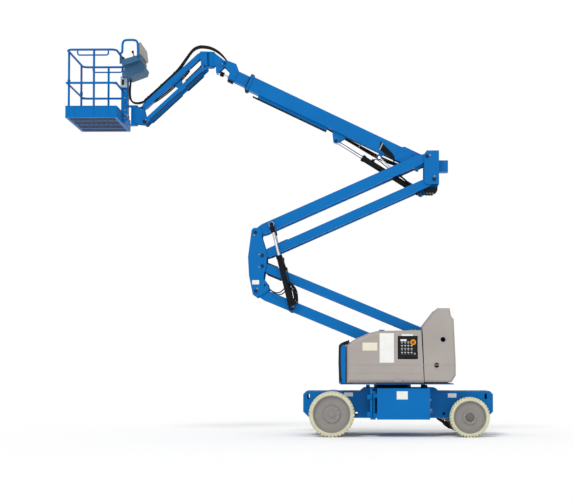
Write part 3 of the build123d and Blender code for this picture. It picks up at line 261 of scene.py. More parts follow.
def castIron(name, light, dark):
    # sand-cast counterweight under a coat of dark primer
    material, tree, shader, place = startMaterial(name, light, 0.7)
    varyColour(tree, shader, place, light, dark, 0.2)
    sand = addNode(tree, "ShaderNodeTexNoise", {"Scale": 1 / 0.01, "Detail": 5.0}, {"Vector": place})
    addBump(tree, shader, sand.outputs["Fac"], 0.4, 0.003)
    return material


def mouldedPlastic(name, light, dark, roughness=0.5):
    # injection-moulded ABS or nylon with a spark-eroded grain
    material, tree, shader, place = startMaterial(name, light, roughness)
    varyColour(tree, shader, place, light, dark, 0.15)
    grain = addNode(tree, "ShaderNodeTexVoronoi", {"Scale": 1 / 0.004}, {"Vector": place})
    addBump(tree, shader, grain.outputs["Distance"], 0.15, 0.0006)
    shader.inputs["IOR"].default_value = 1.5
    shader.inputs["Specular IOR Level"].default_value = 0.15
    return material


def braidedHose(name, light, dark):
    # hydraulic hose: black rubber cover with a wrapped texture
    material, tree, shader, place = startMaterial(name, light, 0.55)
    varyColour(tree, shader, place, light, dark, 0.05)
    wrap = addNode(tree, "ShaderNodeTexWave", {"Scale": 60.0, "Distortion": 1.0}, {"Vector": place})
    addBump(tree, shader, wrap.outputs["Fac"], 0.15, 0.0008)
    shader.inputs["IOR"].default_value = 1.52
    shader.inputs["Specular IOR Level"].default_value = 0.15
    return material


def vinylPlate(name, light, dark):
    # blank printed vinyl on a thin backing: clean and a little glossy
    material, tree, shader, place = startMaterial(name, light, 0.35)
    varyColour(tree, shader, place, light, dark, 0.1)
    return material


blueEnamel = machineEnamel("blue_enamel", "#006CB4", "#0066AC", 0.38)
greyCover = steelSheetCover("grey_cover_panel", "#A69F9A", "#9E9792")
rimEnamel = machineEnamel("rim_enamel", "#8E8A86", "#837F7B", 0.4, 0.1)
creamRubber = nonMarkingRubber("non_marking_rubber", "#D2CFB2", "#BEBA9C")
blackEnamel = machineEnamel("black_enamel", "#17191D", "#101216", 0.36)
chromeRod = hardChrome("hard_chrome", "#D8D9DC", "#BFC1C6")
blackAbs = mouldedPlastic("black_abs", "#1D1E20", "#151618")
weightIron = castIron("counterweight_iron", "#2C2D2F", "#222325")
zincSteel = rolledSteel("zinc_steel", "#9A9C9F", "#808286")
hoseRubber = braidedHose("hose_rubber", "#17181A", "#0F1011")
whiteVinyl = vinylPlate("white_vinyl", "#E9E9E6", "#DEDEDA")
redAbs = mouldedPlastic("red_abs", "#C4201B", "#AE1A16", 0.35)
yellowAbs = mouldedPlastic("yellow_abs", "#E7B814", "#D6A80E", 0.4)
lidPlastic = mouldedPlastic("grey_lid_plastic", "#A8A49B", "#9B978E", 0.45)
consoleEnamel = machineEnamel("console_enamel", "#40688A", "#38607F", 0.4)
# the platform's blue paint darkened for its underside: painted shade
undersideShadeEnamel = machineEnamel("underside_painted_shade", "#16305A", "#12294E", 0.6)
pinEnamel = machineEnamel("pin_enamel", "#173A5F", "#12304F", 0.4)
hubIron = machineEnamel("hub_iron", "#6E6B68", "#605D5A", 0.4, 0.1)
creamVinyl = vinylPlate("cream_vinyl", "#E2DDC8", "#D8D3BE")
boxPlastic = mouldedPlastic("document_box_plastic", "#A9B8C6", "#98A8B8", 0.35)

slotMaterials = {
    "blue_paint": blueEnamel, "grey_cover": greyCover, "rim_paint": rimEnamel, "cream_rubber": creamRubber,
    "black_paint": blackEnamel, "bright_rod": chromeRod, "black_plastic": blackAbs, "cast_weight": weightIron,
    "steel": zincSteel,
}
for part in record["subparts"]:
    mesh = nodes[part["node"]].data
    mesh.materials.clear()
    mesh.materials.append(slotMaterials[part["material_slot"]])
print("materials on", len(record["subparts"]), "nodes")


# ---- setting-out along the arms and on both sides

bothSides = ((left, "left"), (right, "right"))
# arm: its pivot, slope in degrees and the way it points
arms = {
    "lower_arm": (pivots["secondary_lift"], 22.6, left),
    "lower_link": (pivots["lower_link_level"], 22.6, left),
    "upper_arm": (pivots["upper_arm_level"], 23.9, right),
    "upper_link": (pivots["upper_link_level"], 23.9, right),
    "boom": (pivots["primary_lift"], 25.66, left),
    "jib_arm": (pivots["jib_lift"], -42.7, left),
    "jib_links": (pivots["jib_links_level"], -42.7, left),
    "lift_barrels": (pivots["lift_barrel_swing"], 76.46, left),
    "boom_barrel": (pivots["boom_barrel_swing"], 32.31, left),
    "slave_barrel": (pivots["slave_barrel_swing"], 21.87, left),
}


def onArm(arm, reach, rise=0.0, y=0.0):
    # a point along an arm, in metres from its pivot; rise is square to the arm
    pivot, slope, side = arms[arm]
    c, s = math.cos(math.radians(slope)), math.sin(math.radians(slope))
    return Vector((pivot.x + side * (reach * c - rise * s), y, pivot.z + reach * s + rise * c))


def alongArm(arm, spots, y=0.0):
    # points of reach and rise along an arm
    return [onArm(arm, reach, rise, y) for reach, rise in spots]


def addArmPlate(shape, arm, outline, yFrom, yTo):
    # an outline of reach and rise along an arm, pushed out along y
    addPlate(shape, [(spot.x, spot.z) for spot in alongArm(arm, outline)], yFrom, yTo)


def addArmBar(shape, arm, reachFrom, reachTo, riseFrom, riseTo, yFrom, yTo):
    outline = ((reachFrom, riseFrom), (reachTo, riseFrom), (reachTo, riseTo), (reachFrom, riseTo))
    addArmPlate(shape, arm, outline, yFrom, yTo)


def addRing(shape, centre, profile, segments=64):
    # a closed outline of radius and y, turned about the y axis through the centre
    corners = [shape.verts.new((centre.x + radius, y, centre.z)) for radius, y in profile]
    edges = [shape.edges.new((corners[i - 1], corners[i])) for i in range(len(corners))]
    bmesh.ops.spin(shape, geom=corners + edges, cent=centre, axis=(0, 1, 0), angle=2 * math.pi, steps=segments,
                   use_merge=True)


def addWedge(shape, centre, angles, radii, yLow, yHigh, taper):
    # a block on a wheel's rim, narrower at its top by the taper
    corners = []
    for radius, shrink in ((radii[0], 0.0), (radii[1], taper)):
        for y in (yLow + shrink, yHigh - shrink):
            for angle, turn in ((angles[0], 1), (angles[1], -1)):
                spot = angle + turn * shrink / radius
                rim = Vector((math.cos(spot), 0, math.sin(spot))) * radius
                corners.append(shape.verts.new((centre.x + rim.x, y, centre.z + rim.z)))
    for loop in ((0, 1, 3, 2), (4, 6, 7, 5), (0, 4, 5, 1), (1, 5, 7, 3), (3, 7, 6, 2), (2, 6, 4, 0)):
        shape.faces.new([corners[i] for i in loop])


def addFrame(shape, low, high, wall, depth):
    # a raised rectangular frame on a side face; low and high are its x, z corners, depth its two y values
    outer = [shape.verts.new((x, depth[0], z)) for x, z in
             ((low[0], low[1]), (high[0], low[1]), (high[0], high[1]), (low[0], high[1]))]
    face = shape.faces.new(outer)
    inset = bmesh.ops.inset_region(shape, faces=[face], thickness=wall)
    bmesh.ops.delete(shape, geom=[face], context="FACES_ONLY")
    pushed = bmesh.ops.extrude_face_region(shape, geom=inset["faces"])
    moved = [v for v in pushed["geom"] if isinstance(v, bmesh.types.BMVert)]
    bmesh.ops.translate(shape, verts=moved, vec=(0, depth[1] - depth[0], 0))


# ---- tyres: treads with two staggered rings of blocks

treads = {
    "drive": {"radius": 0.32, "bore": 0.2623},
    "steer": {"radius": 0.28, "bore": 0.2283},
    "blocks": 38, "blockShare": 0.62, "depth": 0.011, "middle": 0.66, "faces": (0.57, 0.75), "shoulder": 0.02,
}
for wheelName in ("drive", "steer"):
    radius, bore = treads[wheelName]["radius"], treads[wheelName]["bore"]
    base = radius - treads["depth"]
    yIn, yOut = treads["faces"]
    for side, sideName in bothSides:
        centre = pivots[f"{wheelName}_wheel_{sideName}_spin"].copy()
        centre.y = 0
        shape = bmesh.new()
        wall = (bore + base) / 2
        profile = [(bore, yIn + 0.006), (bore, yOut - 0.006), (bore + 0.006, yOut - 0.001), (wall, yOut),
                   (base - 0.01, yOut - 0.004), (base, yOut - treads["shoulder"]), (base, yIn + treads["shoulder"]),
                   (base - 0.01, yIn + 0.004), (wall, yIn), (bore + 0.006, yIn + 0.001)]
        addRing(shape, centre, [(r, side * y) for r, y in profile], 96)
        step = 2 * math.pi / treads["blocks"]
        rings = ((yIn + 0.003, treads["middle"] - 0.004), (treads["middle"] + 0.004, yOut - 0.003))
        for number in range(treads["blocks"]):
            for row, (yFrom, yTo) in enumerate(rings):
                start = (number + row * 0.5) * step
                yLow, yHigh = sorted((side * yFrom, side * yTo))
                addWedge(shape, centre, (start, start + step * treads["blockShare"]), (base - 0.012, radius),
                         yLow, yHigh, 0.0025)
        finishPiece(f"tread_{wheelName}_{sideName}", shape, creamRubber, f"{wheelName}_wheel_{sideName}",
                    0.0015, 40, (f"tyre_{wheelName}_{sideName}",))
print("tyres done")


# ---- wheels: nut circles, hub caps and rings pressed in the discs

wheelDetail = {
    "drive": {"nuts": 9, "nutCircle": 0.1, "nutRadius": 0.011, "capRadius": 0.046, "capDepth": 0.012,
              "rings": ((0.127, 0.006, 0.7105), (0.244, 0.007, 0.7115))},
    "steer": {"nuts": 5, "nutCircle": 0.079, "nutRadius": 0.01, "capRadius": 0.062, "capDepth": 0.03,
              "rings": ((0.212, 0.006, 0.7115),)},
}
for wheelName, detail in wheelDetail.items():
    for side, sideName in bothSides:
        centre = pivots[f"{wheelName}_wheel_{sideName}_spin"]
        outward = Vector((0, side, 0))
        face = Vector((centre.x, side * 0.724, centre.z))
        body = f"{wheelName}_wheel_{sideName}"
        shape = bmesh.new()
        for number in range(detail["nuts"]):
            angle = 2 * math.pi * number / detail["nuts"] + 0.2
            spot = face + Vector((math.cos(angle), 0, math.sin(angle))) * detail["nutCircle"]
            addBolt(shape, spot, outward, detail["nutRadius"], 0.016)
        finishPiece(f"wheel_nuts_{wheelName}_{sideName}", shape, zincSteel, body)
        shape = bmesh.new()
        cap = Vector((centre.x, side * 0.736, centre.z))
        if wheelName == "steer":
            bmesh.ops.create_uvsphere(
                shape, u_segments=32, v_segments=16, radius=detail["capRadius"],
                matrix=Matrix.Translation(cap - outward * 0.012) @ Matrix.Diagonal((1, 0.4, 1, 1)))
        else:
            addRod(shape, cap - outward * 0.01, cap + outward * detail["capDepth"] * 0.4, detail["capRadius"],
                   segments=32)
            addRod(shape, cap, cap + outward * detail["capDepth"], 0.024, segments=24)
        finishPiece(f"hub_cap_{wheelName}_{sideName}", shape, hubIron if wheelName == "steer" else rimEnamel,
                    body, 0.002)
        shape = bmesh.new()
        axle = Vector((centre.x, 0, centre.z))
        for ringRadius, half, y in detail["rings"]:
            addRing(shape, axle, [(ringRadius + half * math.cos(a), side * (y + 0.7 * half * math.sin(a)))
                                  for a in (math.radians(step) for step in range(0, 360, 45))], 72)
        finishPiece(f"disc_rings_{wheelName}_{sideName}", shape, rimEnamel, body)
print("wheels done")


# ---- turntable covers: blank plates, latches, edge trim and pressed beads

coverSkin = 0.6995  # just inside the covers' outer face, so that what lies on them is seated
coverPlates = {
    "small": {"x": (1.185, 1.392), "z": (1.208, 1.32), "vinyl": creamVinyl},
    "tall": {"x": (1.424, 1.625), "z": (1.039, 1.452), "vinyl": whiteVinyl},
    "strip": {"x": (1.734, 1.889), "z": (1.4135, 1.437), "vinyl": whiteVinyl},
}
for plateName, plate in coverPlates.items():
    shape = bmesh.new()
    addBox(shape, (plate["x"][0], -coverSkin - 0.0023, plate["z"][0]), (plate["x"][1], -coverSkin, plate["z"][1]))
    finishPiece(f"cover_plate_{plateName}", shape, plate["vinyl"], "cover_left", 0.0008)

# pressed latch in the lower edge of each cover
latch = {
    "dish": ((1.62, 0.792), (1.64, 0.77), (1.73, 0.77), (1.75, 0.792), (1.73, 0.812), (1.64, 0.812)),
    "dishY": (0.696, 0.706), "pull": ((1.655, 0.704, 0.782), (1.715, 0.712, 0.8)),
    "lock": ((1.735, 0.7, 0.791), (1.735, 0.711, 0.791)), "lockRadius": 0.007,
}
# black rubber trim on the turntable's front edge
edgeTrim = {
    "outline": ((1.0, 1.357), (0.927, 1.333), (0.872, 1.306), (0.852, 1.26), (0.848, 1.05), (0.854, 0.85),
                (0.868, 0.776), (0.9, 0.766), (0.9, 0.79), (0.888, 0.86), (0.88, 1.05), (0.882, 1.24),
                (0.896, 1.28), (0.935, 1.305), (1.0, 1.33)),
    "y": (0.672, 0.7),
}
# beads: x from and to, z from and to, outer y
beads = {
    "cover": ((0.975, 2.0, 1.003, 1.012, 0.7025), (0.975, 2.0, 0.888, 0.893, 0.7015)),
    "rear": ((2.03, 2.478, 1.003, 1.012, 0.7025),),
}
rearBeads = bmesh.new()
for side, sideName in bothSides:
    shape = bmesh.new()
    addSidePlate(shape, side, latch["dish"], latch["dishY"])
    addSideBox(shape, side, *latch["pull"])
    addSideRod(shape, side, *latch["lock"], latch["lockRadius"], segments=16)
    finishPiece(f"cover_latch_{sideName}", shape, zincSteel, f"cover_{sideName}", 0.002)
    shape = bmesh.new()
    addSidePlate(shape, side, edgeTrim["outline"], edgeTrim["y"])
    finishPiece(f"edge_trim_{sideName}", shape, blackAbs, "turntable", 0.004)
    shape = bmesh.new()
    for target, rows in ((shape, beads["cover"]), (rearBeads, beads["rear"])):
        for xFrom, xTo, zFrom, zTo, yOut in rows:
            addSideBox(target, side, (xFrom, coverSkin, zFrom), (xTo, yOut, zTo))
    finishPiece(f"cover_beads_{sideName}", shape, greyCover, f"cover_{sideName}", 0.0015)
finishPiece("rear_beads", rearBeads, greyCover, "turntable", 0.0015)


# ---- ground panel: face, toggles, blank legends and stop button

def makeStop(name, spot, outward, body, size):
    # emergency stop: a yellow ring and a red mushroom head on its stem
    shape = bmesh.new()
    addRod(shape, spot, spot + outward * 0.004, size["ring"], segments=size["ringSegments"])
    finishPiece(f"{name}_stop_ring", shape, yellowAbs, body, 0.001)
    shape = bmesh.new()
    addRod(shape, spot + outward * 0.003, spot + outward * size["stemTop"], size["stem"], segments=24)
    addRod(shape, spot + outward * (size["stemTop"] - 0.002), spot + outward * size["top"], *size["head"],
           size["headSegments"])
    finishPiece(f"{name}_stop_button", shape, redAbs, body, size["bevel"])


panel = {
    "x": (1.703, 1.938), "z": (1.118, 1.378), "face": -0.686, "rows": (1.165, 1.215, 1.262, 1.31),
    "columns": (1.738, 1.782, 1.826, 1.872), "frame": ((1.69, 1.106), (1.95, 1.392)), "frameWall": 0.012,
    "keySwitch": (1.916, 1.165), "legendY": (-0.6888, -0.6878), "legend": (0.013, 0.014, 0.022),
    "title": ((1.716, 1.342), (1.8, 1.366)), "stop": (1.893, 1.325),
}
panelSkin = panel["face"] - 0.002
toggleSpots = [Vector((column, panelSkin, row)) for row in panel["rows"] for column in panel["columns"]]
shape = bmesh.new()
addBox(shape, (panel["x"][0], panelSkin, panel["z"][0]), (panel["x"][1], panel["face"] + 0.001, panel["z"][1]))
addFrame(shape, *panel["frame"], panel["frameWall"], (-coverSkin, -0.708))
finishPiece("ground_panel_face", shape, blackAbs, "turntable", 0.0012)
shape = bmesh.new()
for spot in toggleSpots:
    addRod(shape, spot, spot + Vector((0, -0.005, 0)), 0.0095, segments=6)
    addRod(shape, spot + Vector((0, -0.004, 0)), spot + Vector((0.001, -0.02, 0.005)), 0.003, 0.0042, 12)
keyX, keyZ = panel["keySwitch"]
addRod(shape, (keyX, panelSkin, keyZ), (keyX, -0.7, keyZ), 0.014, segments=20)
finishPiece("ground_toggles", shape, zincSteel, "turntable")
shape = bmesh.new()
yLow, yHigh = panel["legendY"]
half, low, high = panel["legend"]
for spot in toggleSpots:
    addBox(shape, (spot.x - half, yLow, spot.z + low), (spot.x + half, yHigh, spot.z + high))
(titleX, titleZ), (titleEndX, titleEndZ) = panel["title"]
addBox(shape, (titleX, yLow, titleZ), (titleEndX, yHigh, titleEndZ))
finishPiece("ground_legends", shape, whiteVinyl, "turntable")
makeStop("ground", Vector((panel["stop"][0], panelSkin, panel["stop"][1])), Vector((0, -1, 0)), "turntable", {
    "ring": 0.039, "ringSegments": 40, "stem": 0.012, "stemTop": 0.018, "head": (0.021, 0.0235), "top": 0.028,
    "headSegments": 32, "bevel": 0.003})
print("covers done")


# ---- chassis: blank plates, hinges, latches, stops and the steering hoses

chassisPlates = (((0.925, 0.3445, 0.562), (1.05, 0.347, 0.616)), ((2.4, 0.3445, 0.545), (2.52, 0.347, 0.605)))
trayPlate = ((1.662, 0.7195, 0.527), (1.815, 0.7222, 0.64))
# strap hinge: a leaf on the chassis and a knuckle on its pin
trayHinge = {"z": (0.32, 0.56), "leafX": (1.25, 1.3), "leafY": (0.7095, 0.716), "leafHalf": 0.03,
             "pin": (1.303, 0.717), "pinHalf": 0.034, "pinRadius": 0.0085, "boltX": (1.262, 1.284)}
trayLatch = {
    "plate": ((2.1265, 0.655, 0.335), (2.1325, 0.7, 0.4)), "catch": ((2.1265, 0.66, 0.505), (2.14, 0.695, 0.53)),
    "shaft": ((2.1325, 0.678, 0.385), (2.156, 0.678, 0.385)), "lever": ((2.148, 0.678, 0.385), (2.15, 0.712, 0.343)),
}
rotationStop = {"outline": ((2.046, 0.6835), (2.112, 0.6835), (2.112, 0.716), (2.1, 0.726), (2.046, 0.726)),
                "y": (0.25, 0.33)}
turntableLock = {"outline": ((1.232, 0.6835), (1.294, 0.6835), (1.288, 0.727), (1.24, 0.727)),
                 "y": (-0.325, -0.265), "pin": ((1.262, -0.332, 0.708), (1.262, -0.258, 0.708)), "pinRadius": 0.008}
plates, stops, steerHoses = bmesh.new(), bmesh.new(), []
for side, sideName in bothSides:
    tray = f"battery_tray_{sideName}"
    for low, high in chassisPlates:
        addSideBox(plates, side, low, high)
    shape = bmesh.new()
    addSideBox(shape, side, *trayPlate)
    finishPiece(f"tray_plate_{sideName}", shape, whiteVinyl, tray, 0.0006)
    shape = bmesh.new()
    (leafFrom, leafTo), (yIn, yOut) = trayHinge["leafX"], trayHinge["leafY"]
    pinX, pinY = trayHinge["pin"]
    for z in trayHinge["z"]:
        half, pinHalf = trayHinge["leafHalf"], trayHinge["pinHalf"]
        addSideBox(shape, side, (leafFrom, yIn, z - half), (leafTo, yOut, z + half))
        addSideRod(shape, side, (pinX, pinY, z - pinHalf), (pinX, pinY, z + pinHalf), trayHinge["pinRadius"],
                   segments=20)
        for boltX in trayHinge["boltX"]:
            addBolt(shape, (boltX, side * yOut, z), (0, side, 0), 0.0055, 0.006)
    finishPiece(f"tray_hinges_{sideName}", shape, blueEnamel, "chassis", 0.0015)
    shape = bmesh.new()
    addSideBox(shape, side, *trayLatch["plate"])
    addSideRod(shape, side, *trayLatch["shaft"], 0.009, segments=20)
    addSideRod(shape, side, *trayLatch["lever"], 0.0065, segments=16)
    addSideBox(shape, side, *trayLatch["catch"])
    finishPiece(f"tray_latch_{sideName}", shape, zincSteel, tray, 0.0015)
    addSidePlate(stops, side, rotationStop["outline"], rotationStop["y"])
    for step in (0, 0.03, 0.06):
        steerHoses.append([onSide(side, spot) for spot in (
            (2.33 - step, 0.24 + step, 0.262), (2.34 - step, 0.25 + step, 0.2), (2.39, 0.26 + step, 0.12 + step),
            (2.46, 0.28 + step, 0.095 + step), (2.53, 0.3 + step, 0.14 + step), (2.6, 0.3 + step, 0.25))])
finishPiece("chassis_plates", plates, whiteVinyl, "chassis", 0.0005)
finishPiece("rotation_stops", stops, blackAbs, "chassis", 0.004)
shape = bmesh.new()
addPlate(shape, turntableLock["outline"], *turntableLock["y"])
addRod(shape, *turntableLock["pin"], turntableLock["pinRadius"], segments=16)
finishPiece("turntable_lock", shape, blueEnamel, "chassis", 0.003)
makeHoses("steer_hoses", steerHoses, 0.011, hoseRubber, "chassis")
print("chassis done")


# ---- pin heads with keeper plates and bolts on the arms' pivots

# name: place, outer y, body, head radius, the way its keeper points in degrees
pinHeads = {
    "lower_pin": (pivots["mid_upright_level"], 0.196, "mid_upright", 0.026, 60),
    "lower_link_pin": (onArm("lower_link", 2.78), 0.196, "mid_upright", 0.026, 200),
    "upper_link_pin": (pivots["upper_link_level"], 0.196, "mid_upright", 0.026, 160),
    "upper_pin": (pivots["upper_arm_level"], 0.196, "mid_upright", 0.026, 250),
    "stop_pin": (Vector((-0.2186, 0, 2.158)), 0.19, "mid_upright", 0.017, 130),
    "riser_pin": (pivots["riser_level"], 0.196, "riser", 0.027, 20),
    "riser_link_pin": (onArm("upper_link", 2.71), 0.196, "riser", 0.027, 80),
    "boom_cylinder_pin": (onArm("boom", 1.296, -0.345), 0.056, "boom", 0.022, 90),
    "extension_pin": (pivots["jib_bracket_level"], 0.091, "boom_extension", 0.021, 200),
    "jib_end_pin": (pivots["platform_mount_level"], 0.074, "platform_mount", 0.017, 250),
    "jib_link_pin": (onArm("jib_links", 1.186), 0.148, "platform_mount", 0.017, 60),
    "jib_link_base_pin": (pivots["jib_links_level"], 0.148, "jib_knuckle", 0.017, 200),
    "lift_foot_pin": (pivots["lift_barrel_swing"], 0.302, "lower_arm", 0.019, 20),
}
for pinName, (spot, yOut, body, headRadius, keeperTurn) in pinHeads.items():
    heads, keepers = bmesh.new(), bmesh.new()
    along = Vector((math.cos(math.radians(keeperTurn)), 0, math.sin(math.radians(keeperTurn))))
    across = Vector((-along.z, 0, along.x))
    half = headRadius * 0.45
    for side, _ in bothSides:
        outward = Vector((0, side, 0))
        centre = Vector((spot.x, side * yOut, spot.z))
        addRod(heads, centre - outward * 0.002, centre + outward * 0.004, headRadius, segments=32)
        addRod(heads, centre + outward * 0.003, centre + outward * 0.0065, headRadius * 0.72, headRadius * 0.66, 32)
        foot = centre - outward * 0.006 + along * headRadius * 1.15
        tip = foot + along * headRadius
        corners = [foot - across * half, tip - across * half * 0.7, tip + across * half * 0.7, foot + across * half]
        addSidePlate(keepers, side, [(corner.x, corner.z) for corner in corners], (yOut - 0.007, yOut - 0.001))
        addBolt(keepers, foot + along * headRadius * 0.55 + outward * 0.004, outward, headRadius * 0.27,
                headRadius * 0.3)
    finishPiece(f"{pinName}_heads", heads, pinEnamel, body, 0.001)
    finishPiece(f"{pinName}_keepers", keepers, zincSteel, body, 0.0008)
print("pins done")


# ---- mid upright, lift cylinders and wear pads of the arms

shape = bmesh.new()
for side, _ in bothSides:
    addSideBox(shape, side, (-0.4, 0.1895, 2.167), (-0.3, 0.192, 2.229))
finishPiece("upright_plates", shape, whiteVinyl, "mid_upright", 0.0005)
# pad: arm, reach from and to, rise at its seat and at its worn face
wearPads = {
    "upper_link_top_pads": ("upper_link", 0.27, 0.44, 0.0635, 0.074),
    "lower_link_top_pads": ("lower_link", 2.55, 2.745, 0.0635, 0.08),
    "lower_link_low_pads": ("lower_link", 2.45, 2.7, -0.0635, -0.082),
}
padSize = {"y": (0.116, 0.164), "slant": 0.02}
for padName, (arm, reachFrom, reachTo, seat, face) in wearPads.items():
    shape = bmesh.new()
    for side, _ in bothSides:
        yIn, yOut = (side * y for y in padSize["y"])
        outline = ((reachFrom, seat), (reachTo, seat), (reachTo - padSize["slant"], face),
                   (reachFrom + padSize["slant"], face))
        addArmPlate(shape, arm, outline, yIn, yOut)
        for share in (0.25, 0.75):
            spot = onArm(arm, reachFrom + (reachTo - reachFrom) * share, (seat + face) / 2, yOut)
            addBolt(shape, spot, (0, side, 0), 0.004, 0.004)
    finishPiece(padName, shape, blackAbs, arm, 0.002)

liftAt = {
    "y": 0.25, "pipe": ((0.6, 0.044), (0.58, 0.058), (0.4, 0.058), (0.16, 0.058), (0.1, 0.05)),
    "footHose": ((0.118, 2.2), (0.16, 2.19), (0.222, 2.13), (0.236, 2.02), (0.24, 1.93), (0.232, 1.875)),
    "uprightHose": ((-0.15, 0.216, 2.1), (-0.085, 0.222, 2.045), (-0.02, 0.25, 2.035), (0.03, 0.25, 2.06),
                    (0.07, 0.25, 2.11)),
    "loops": ((0.36, 0.11), (0.3, 0.09)), "ports": ((0.6, 0.022), (0.12, 0.03), (0.36, 0.018)),
    "gland": (0.725, 0.772), "portBolts": (0.055, 0.36, 0.6), "rodEnd": (1.11, 1.2), "rodTop": 1.228,
}
liftHoses, liftPipes, ports, rodEnds = [], [], bmesh.new(), bmesh.new()
rodTop = onArm("lift_barrels", liftAt["rodTop"])
for side, _ in bothSides:
    y = side * liftAt["y"]
    liftPipes.append(alongArm("lift_barrels", liftAt["pipe"], y))
    liftHoses.append([(x, y, z) for x, z in liftAt["footHose"]])
    liftHoses.append([onSide(side, spot) for spot in liftAt["uprightHose"]])
    for reach, out in liftAt["loops"]:
        liftHoses.append(alongArm("lift_barrels", ((reach, 0.05), (reach - 0.08, out), (0.16, out), (0.06, 0.06)), y))
    # port blocks, the valve at the foot and the gland ring
    for along, size in liftAt["ports"]:
        addArmBar(ports, "lift_barrels", along - size, along + size, 0.03, 0.06, y - 0.02, y + 0.02)
    addArmBar(ports, "lift_barrels", 0.03, 0.075, 0.02, 0.08, y - 0.022, y + 0.03)
    addRod(ports, *alongArm("lift_barrels", ((liftAt["gland"][0], 0), (liftAt["gland"][1], 0)), y), 0.047,
           segments=32)
    for along in liftAt["portBolts"]:
        addBolt(ports, onArm("lift_barrels", along, 0.05, y + side * 0.02), (0, side, 0), 0.006, 0.006)
    addRod(rodEnds, *alongArm("lift_barrels", ((liftAt["rodEnd"][0], 0), (liftAt["rodEnd"][1], 0)), y), 0.031, 0.036,
           32)
    addSideRod(rodEnds, side, (rodTop.x, 0.281, rodTop.z), (rodTop.x, 0.287, rodTop.z), 0.034, segments=32)
finishPiece("lift_cylinder_ports", ports, blackEnamel, "lift_barrels", 0.003)
makeHoses("lift_pipes", liftPipes, 0.006, blackEnamel, "lift_barrels")
makeHoses("lift_hoses", liftHoses, 0.0085, hoseRubber, "lift_barrels")
finishPiece("lift_rod_ends", rodEnds, blackEnamel, "lift_rods", 0.004)
print("lift cylinders done")


# ---- boom: mouth seal, bolts, cable chain, hoses and their clamps

mouth = {"reach": (2.8105, 2.822), "rise": (-0.243, -0.003), "inner": (-0.2115, -0.0355), "y": (0.0805, 0.105),
         "topLip": ((2.775, -0.008), (2.822, -0.008), (2.822, 0.012), (2.79, 0.014), (2.775, 0.006)),
         "lowLip": ((2.77, -0.239), (2.815, -0.239), (2.812, -0.262), (2.785, -0.266), (2.77, -0.256)),
         "lipHalf": 0.05}
(low, high), (innerLow, innerHigh), (yIn, yOut) = mouth["rise"], mouth["inner"], mouth["y"]
shape = bmesh.new()
for bar in ((innerHigh, high, -yOut, yOut), (low, innerLow, -yOut, yOut), (innerLow, innerHigh, -yOut, -yIn),
            (innerLow, innerHigh, yIn, yOut)):
    addArmBar(shape, "boom", *mouth["reach"], *bar)
for lip in ("topLip", "lowLip"):
    addArmPlate(shape, "boom", mouth[lip], -mouth["lipHalf"], mouth["lipHalf"])
finishPiece("boom_mouth_seal", shape, blackAbs, "boom", 0.002)
# reach and face y of each pair of bolts
boomBolts = {"reach": ((2.785, 0.102), (2.6, 0.09), (0.2, 0.1), (0.34, 0.1)), "rise": (-0.06, -0.19)}
shape = bmesh.new()
for side, _ in bothSides:
    for reach, y in boomBolts["reach"]:
        for rise in boomBolts["rise"]:
            addBolt(shape, onArm("boom", reach, rise, side * y), (0, side, 0), 0.008, 0.008)
finishPiece("boom_bolts", shape, blueEnamel, "boom")
# energy chain laid in its tray: side plates and cross bars
chain = {"start": 1.49, "links": 28, "pitch": 0.042, "rise": (-0.286, -0.2705), "y": (0.031, 0.036, 0.0385)}
shape = bmesh.new()
for number in range(chain["links"]):
    reach = chain["start"] + number * chain["pitch"]
    for side, _ in bothSides:
        addArmBar(shape, "boom", reach, reach + chain["pitch"] * 1.2, *chain["rise"], side * chain["y"][0],
                  side * chain["y"][1 if number % 2 else 2])
    addArmBar(shape, "boom", reach + 0.012, reach + 0.026, -0.2845, -0.2795, -0.034, 0.034)
finishPiece("cable_chain", shape, blackAbs, "boom")
# hoses under the boom in layers: reach, rise in the top layer, share of a layer's step
underHose = {"start": (1.5, -0.234, 0.03), "y": (0.062, 0.078, 0.094), "layers": 3, "step": 0.0155, "radius": 0.0075,
             "line": ((1.33, -0.2345, 0.3), (1.1, -0.2345, 0.7), (0.8, -0.252, 1.2), (0.55, -0.262, 1.5),
                      (0.34, -0.248, 1), (0.25, -0.235, 0.5))}
underHoses = []
for layer in range(underHose["layers"]):
    drop = layer * underHose["step"]
    line = [(reach, rise - drop * share) for reach, rise, share in underHose["line"]]
    underHoses += [[onArm("boom", *underHose["start"])] + alongArm("boom", line, y) for y in underHose["y"]]
makeHoses("boom_under_hoses", underHoses, underHose["radius"], hoseRubber, "boom")
# hoses that leave the boom's side plate: reach, rise, y, share of a hose's step in reach and in rise
sideHose = {"count": 6, "step": 0.0155, "radius": 0.0068, "line": (
    (0.7, -0.085, -0.092, 0.3, 1), (0.66, -0.105, -0.0985, 0, 1), (0.56, -0.14, -0.0985, 0, 1),
    (0.46, -0.172, -0.098, 0, 0.7), (0.425, -0.205, -0.094, 0, 0.5), (0.4, -0.245, -0.075, 0, 0.2))}
sideHoses = []
for number in range(sideHose["count"]):
    step = number * sideHose["step"]
    sideHoses.append([onArm("boom", reach - step * back, rise - step * share, y)
                      for reach, rise, y, back, share in sideHose["line"]])
makeHoses("boom_side_hoses", sideHoses, sideHose["radius"], hoseRubber, "boom")
# clamps: reach from and to, rise from and to, y from and to
hoseClamps = ((0.655, 0.672, -0.2, -0.09, -0.108, -0.0895), (0.95, 0.966, -0.272, -0.226, 0.054, 0.104),
              (1.22, 1.236, -0.262, -0.226, 0.054, 0.104))
shape = bmesh.new()
for clamp in hoseClamps:
    addArmBar(shape, "boom", *clamp)
finishPiece("hose_clamps", shape, zincSteel, "boom", 0.0015)


# ---- boom and slave cylinder fittings, riser manifold

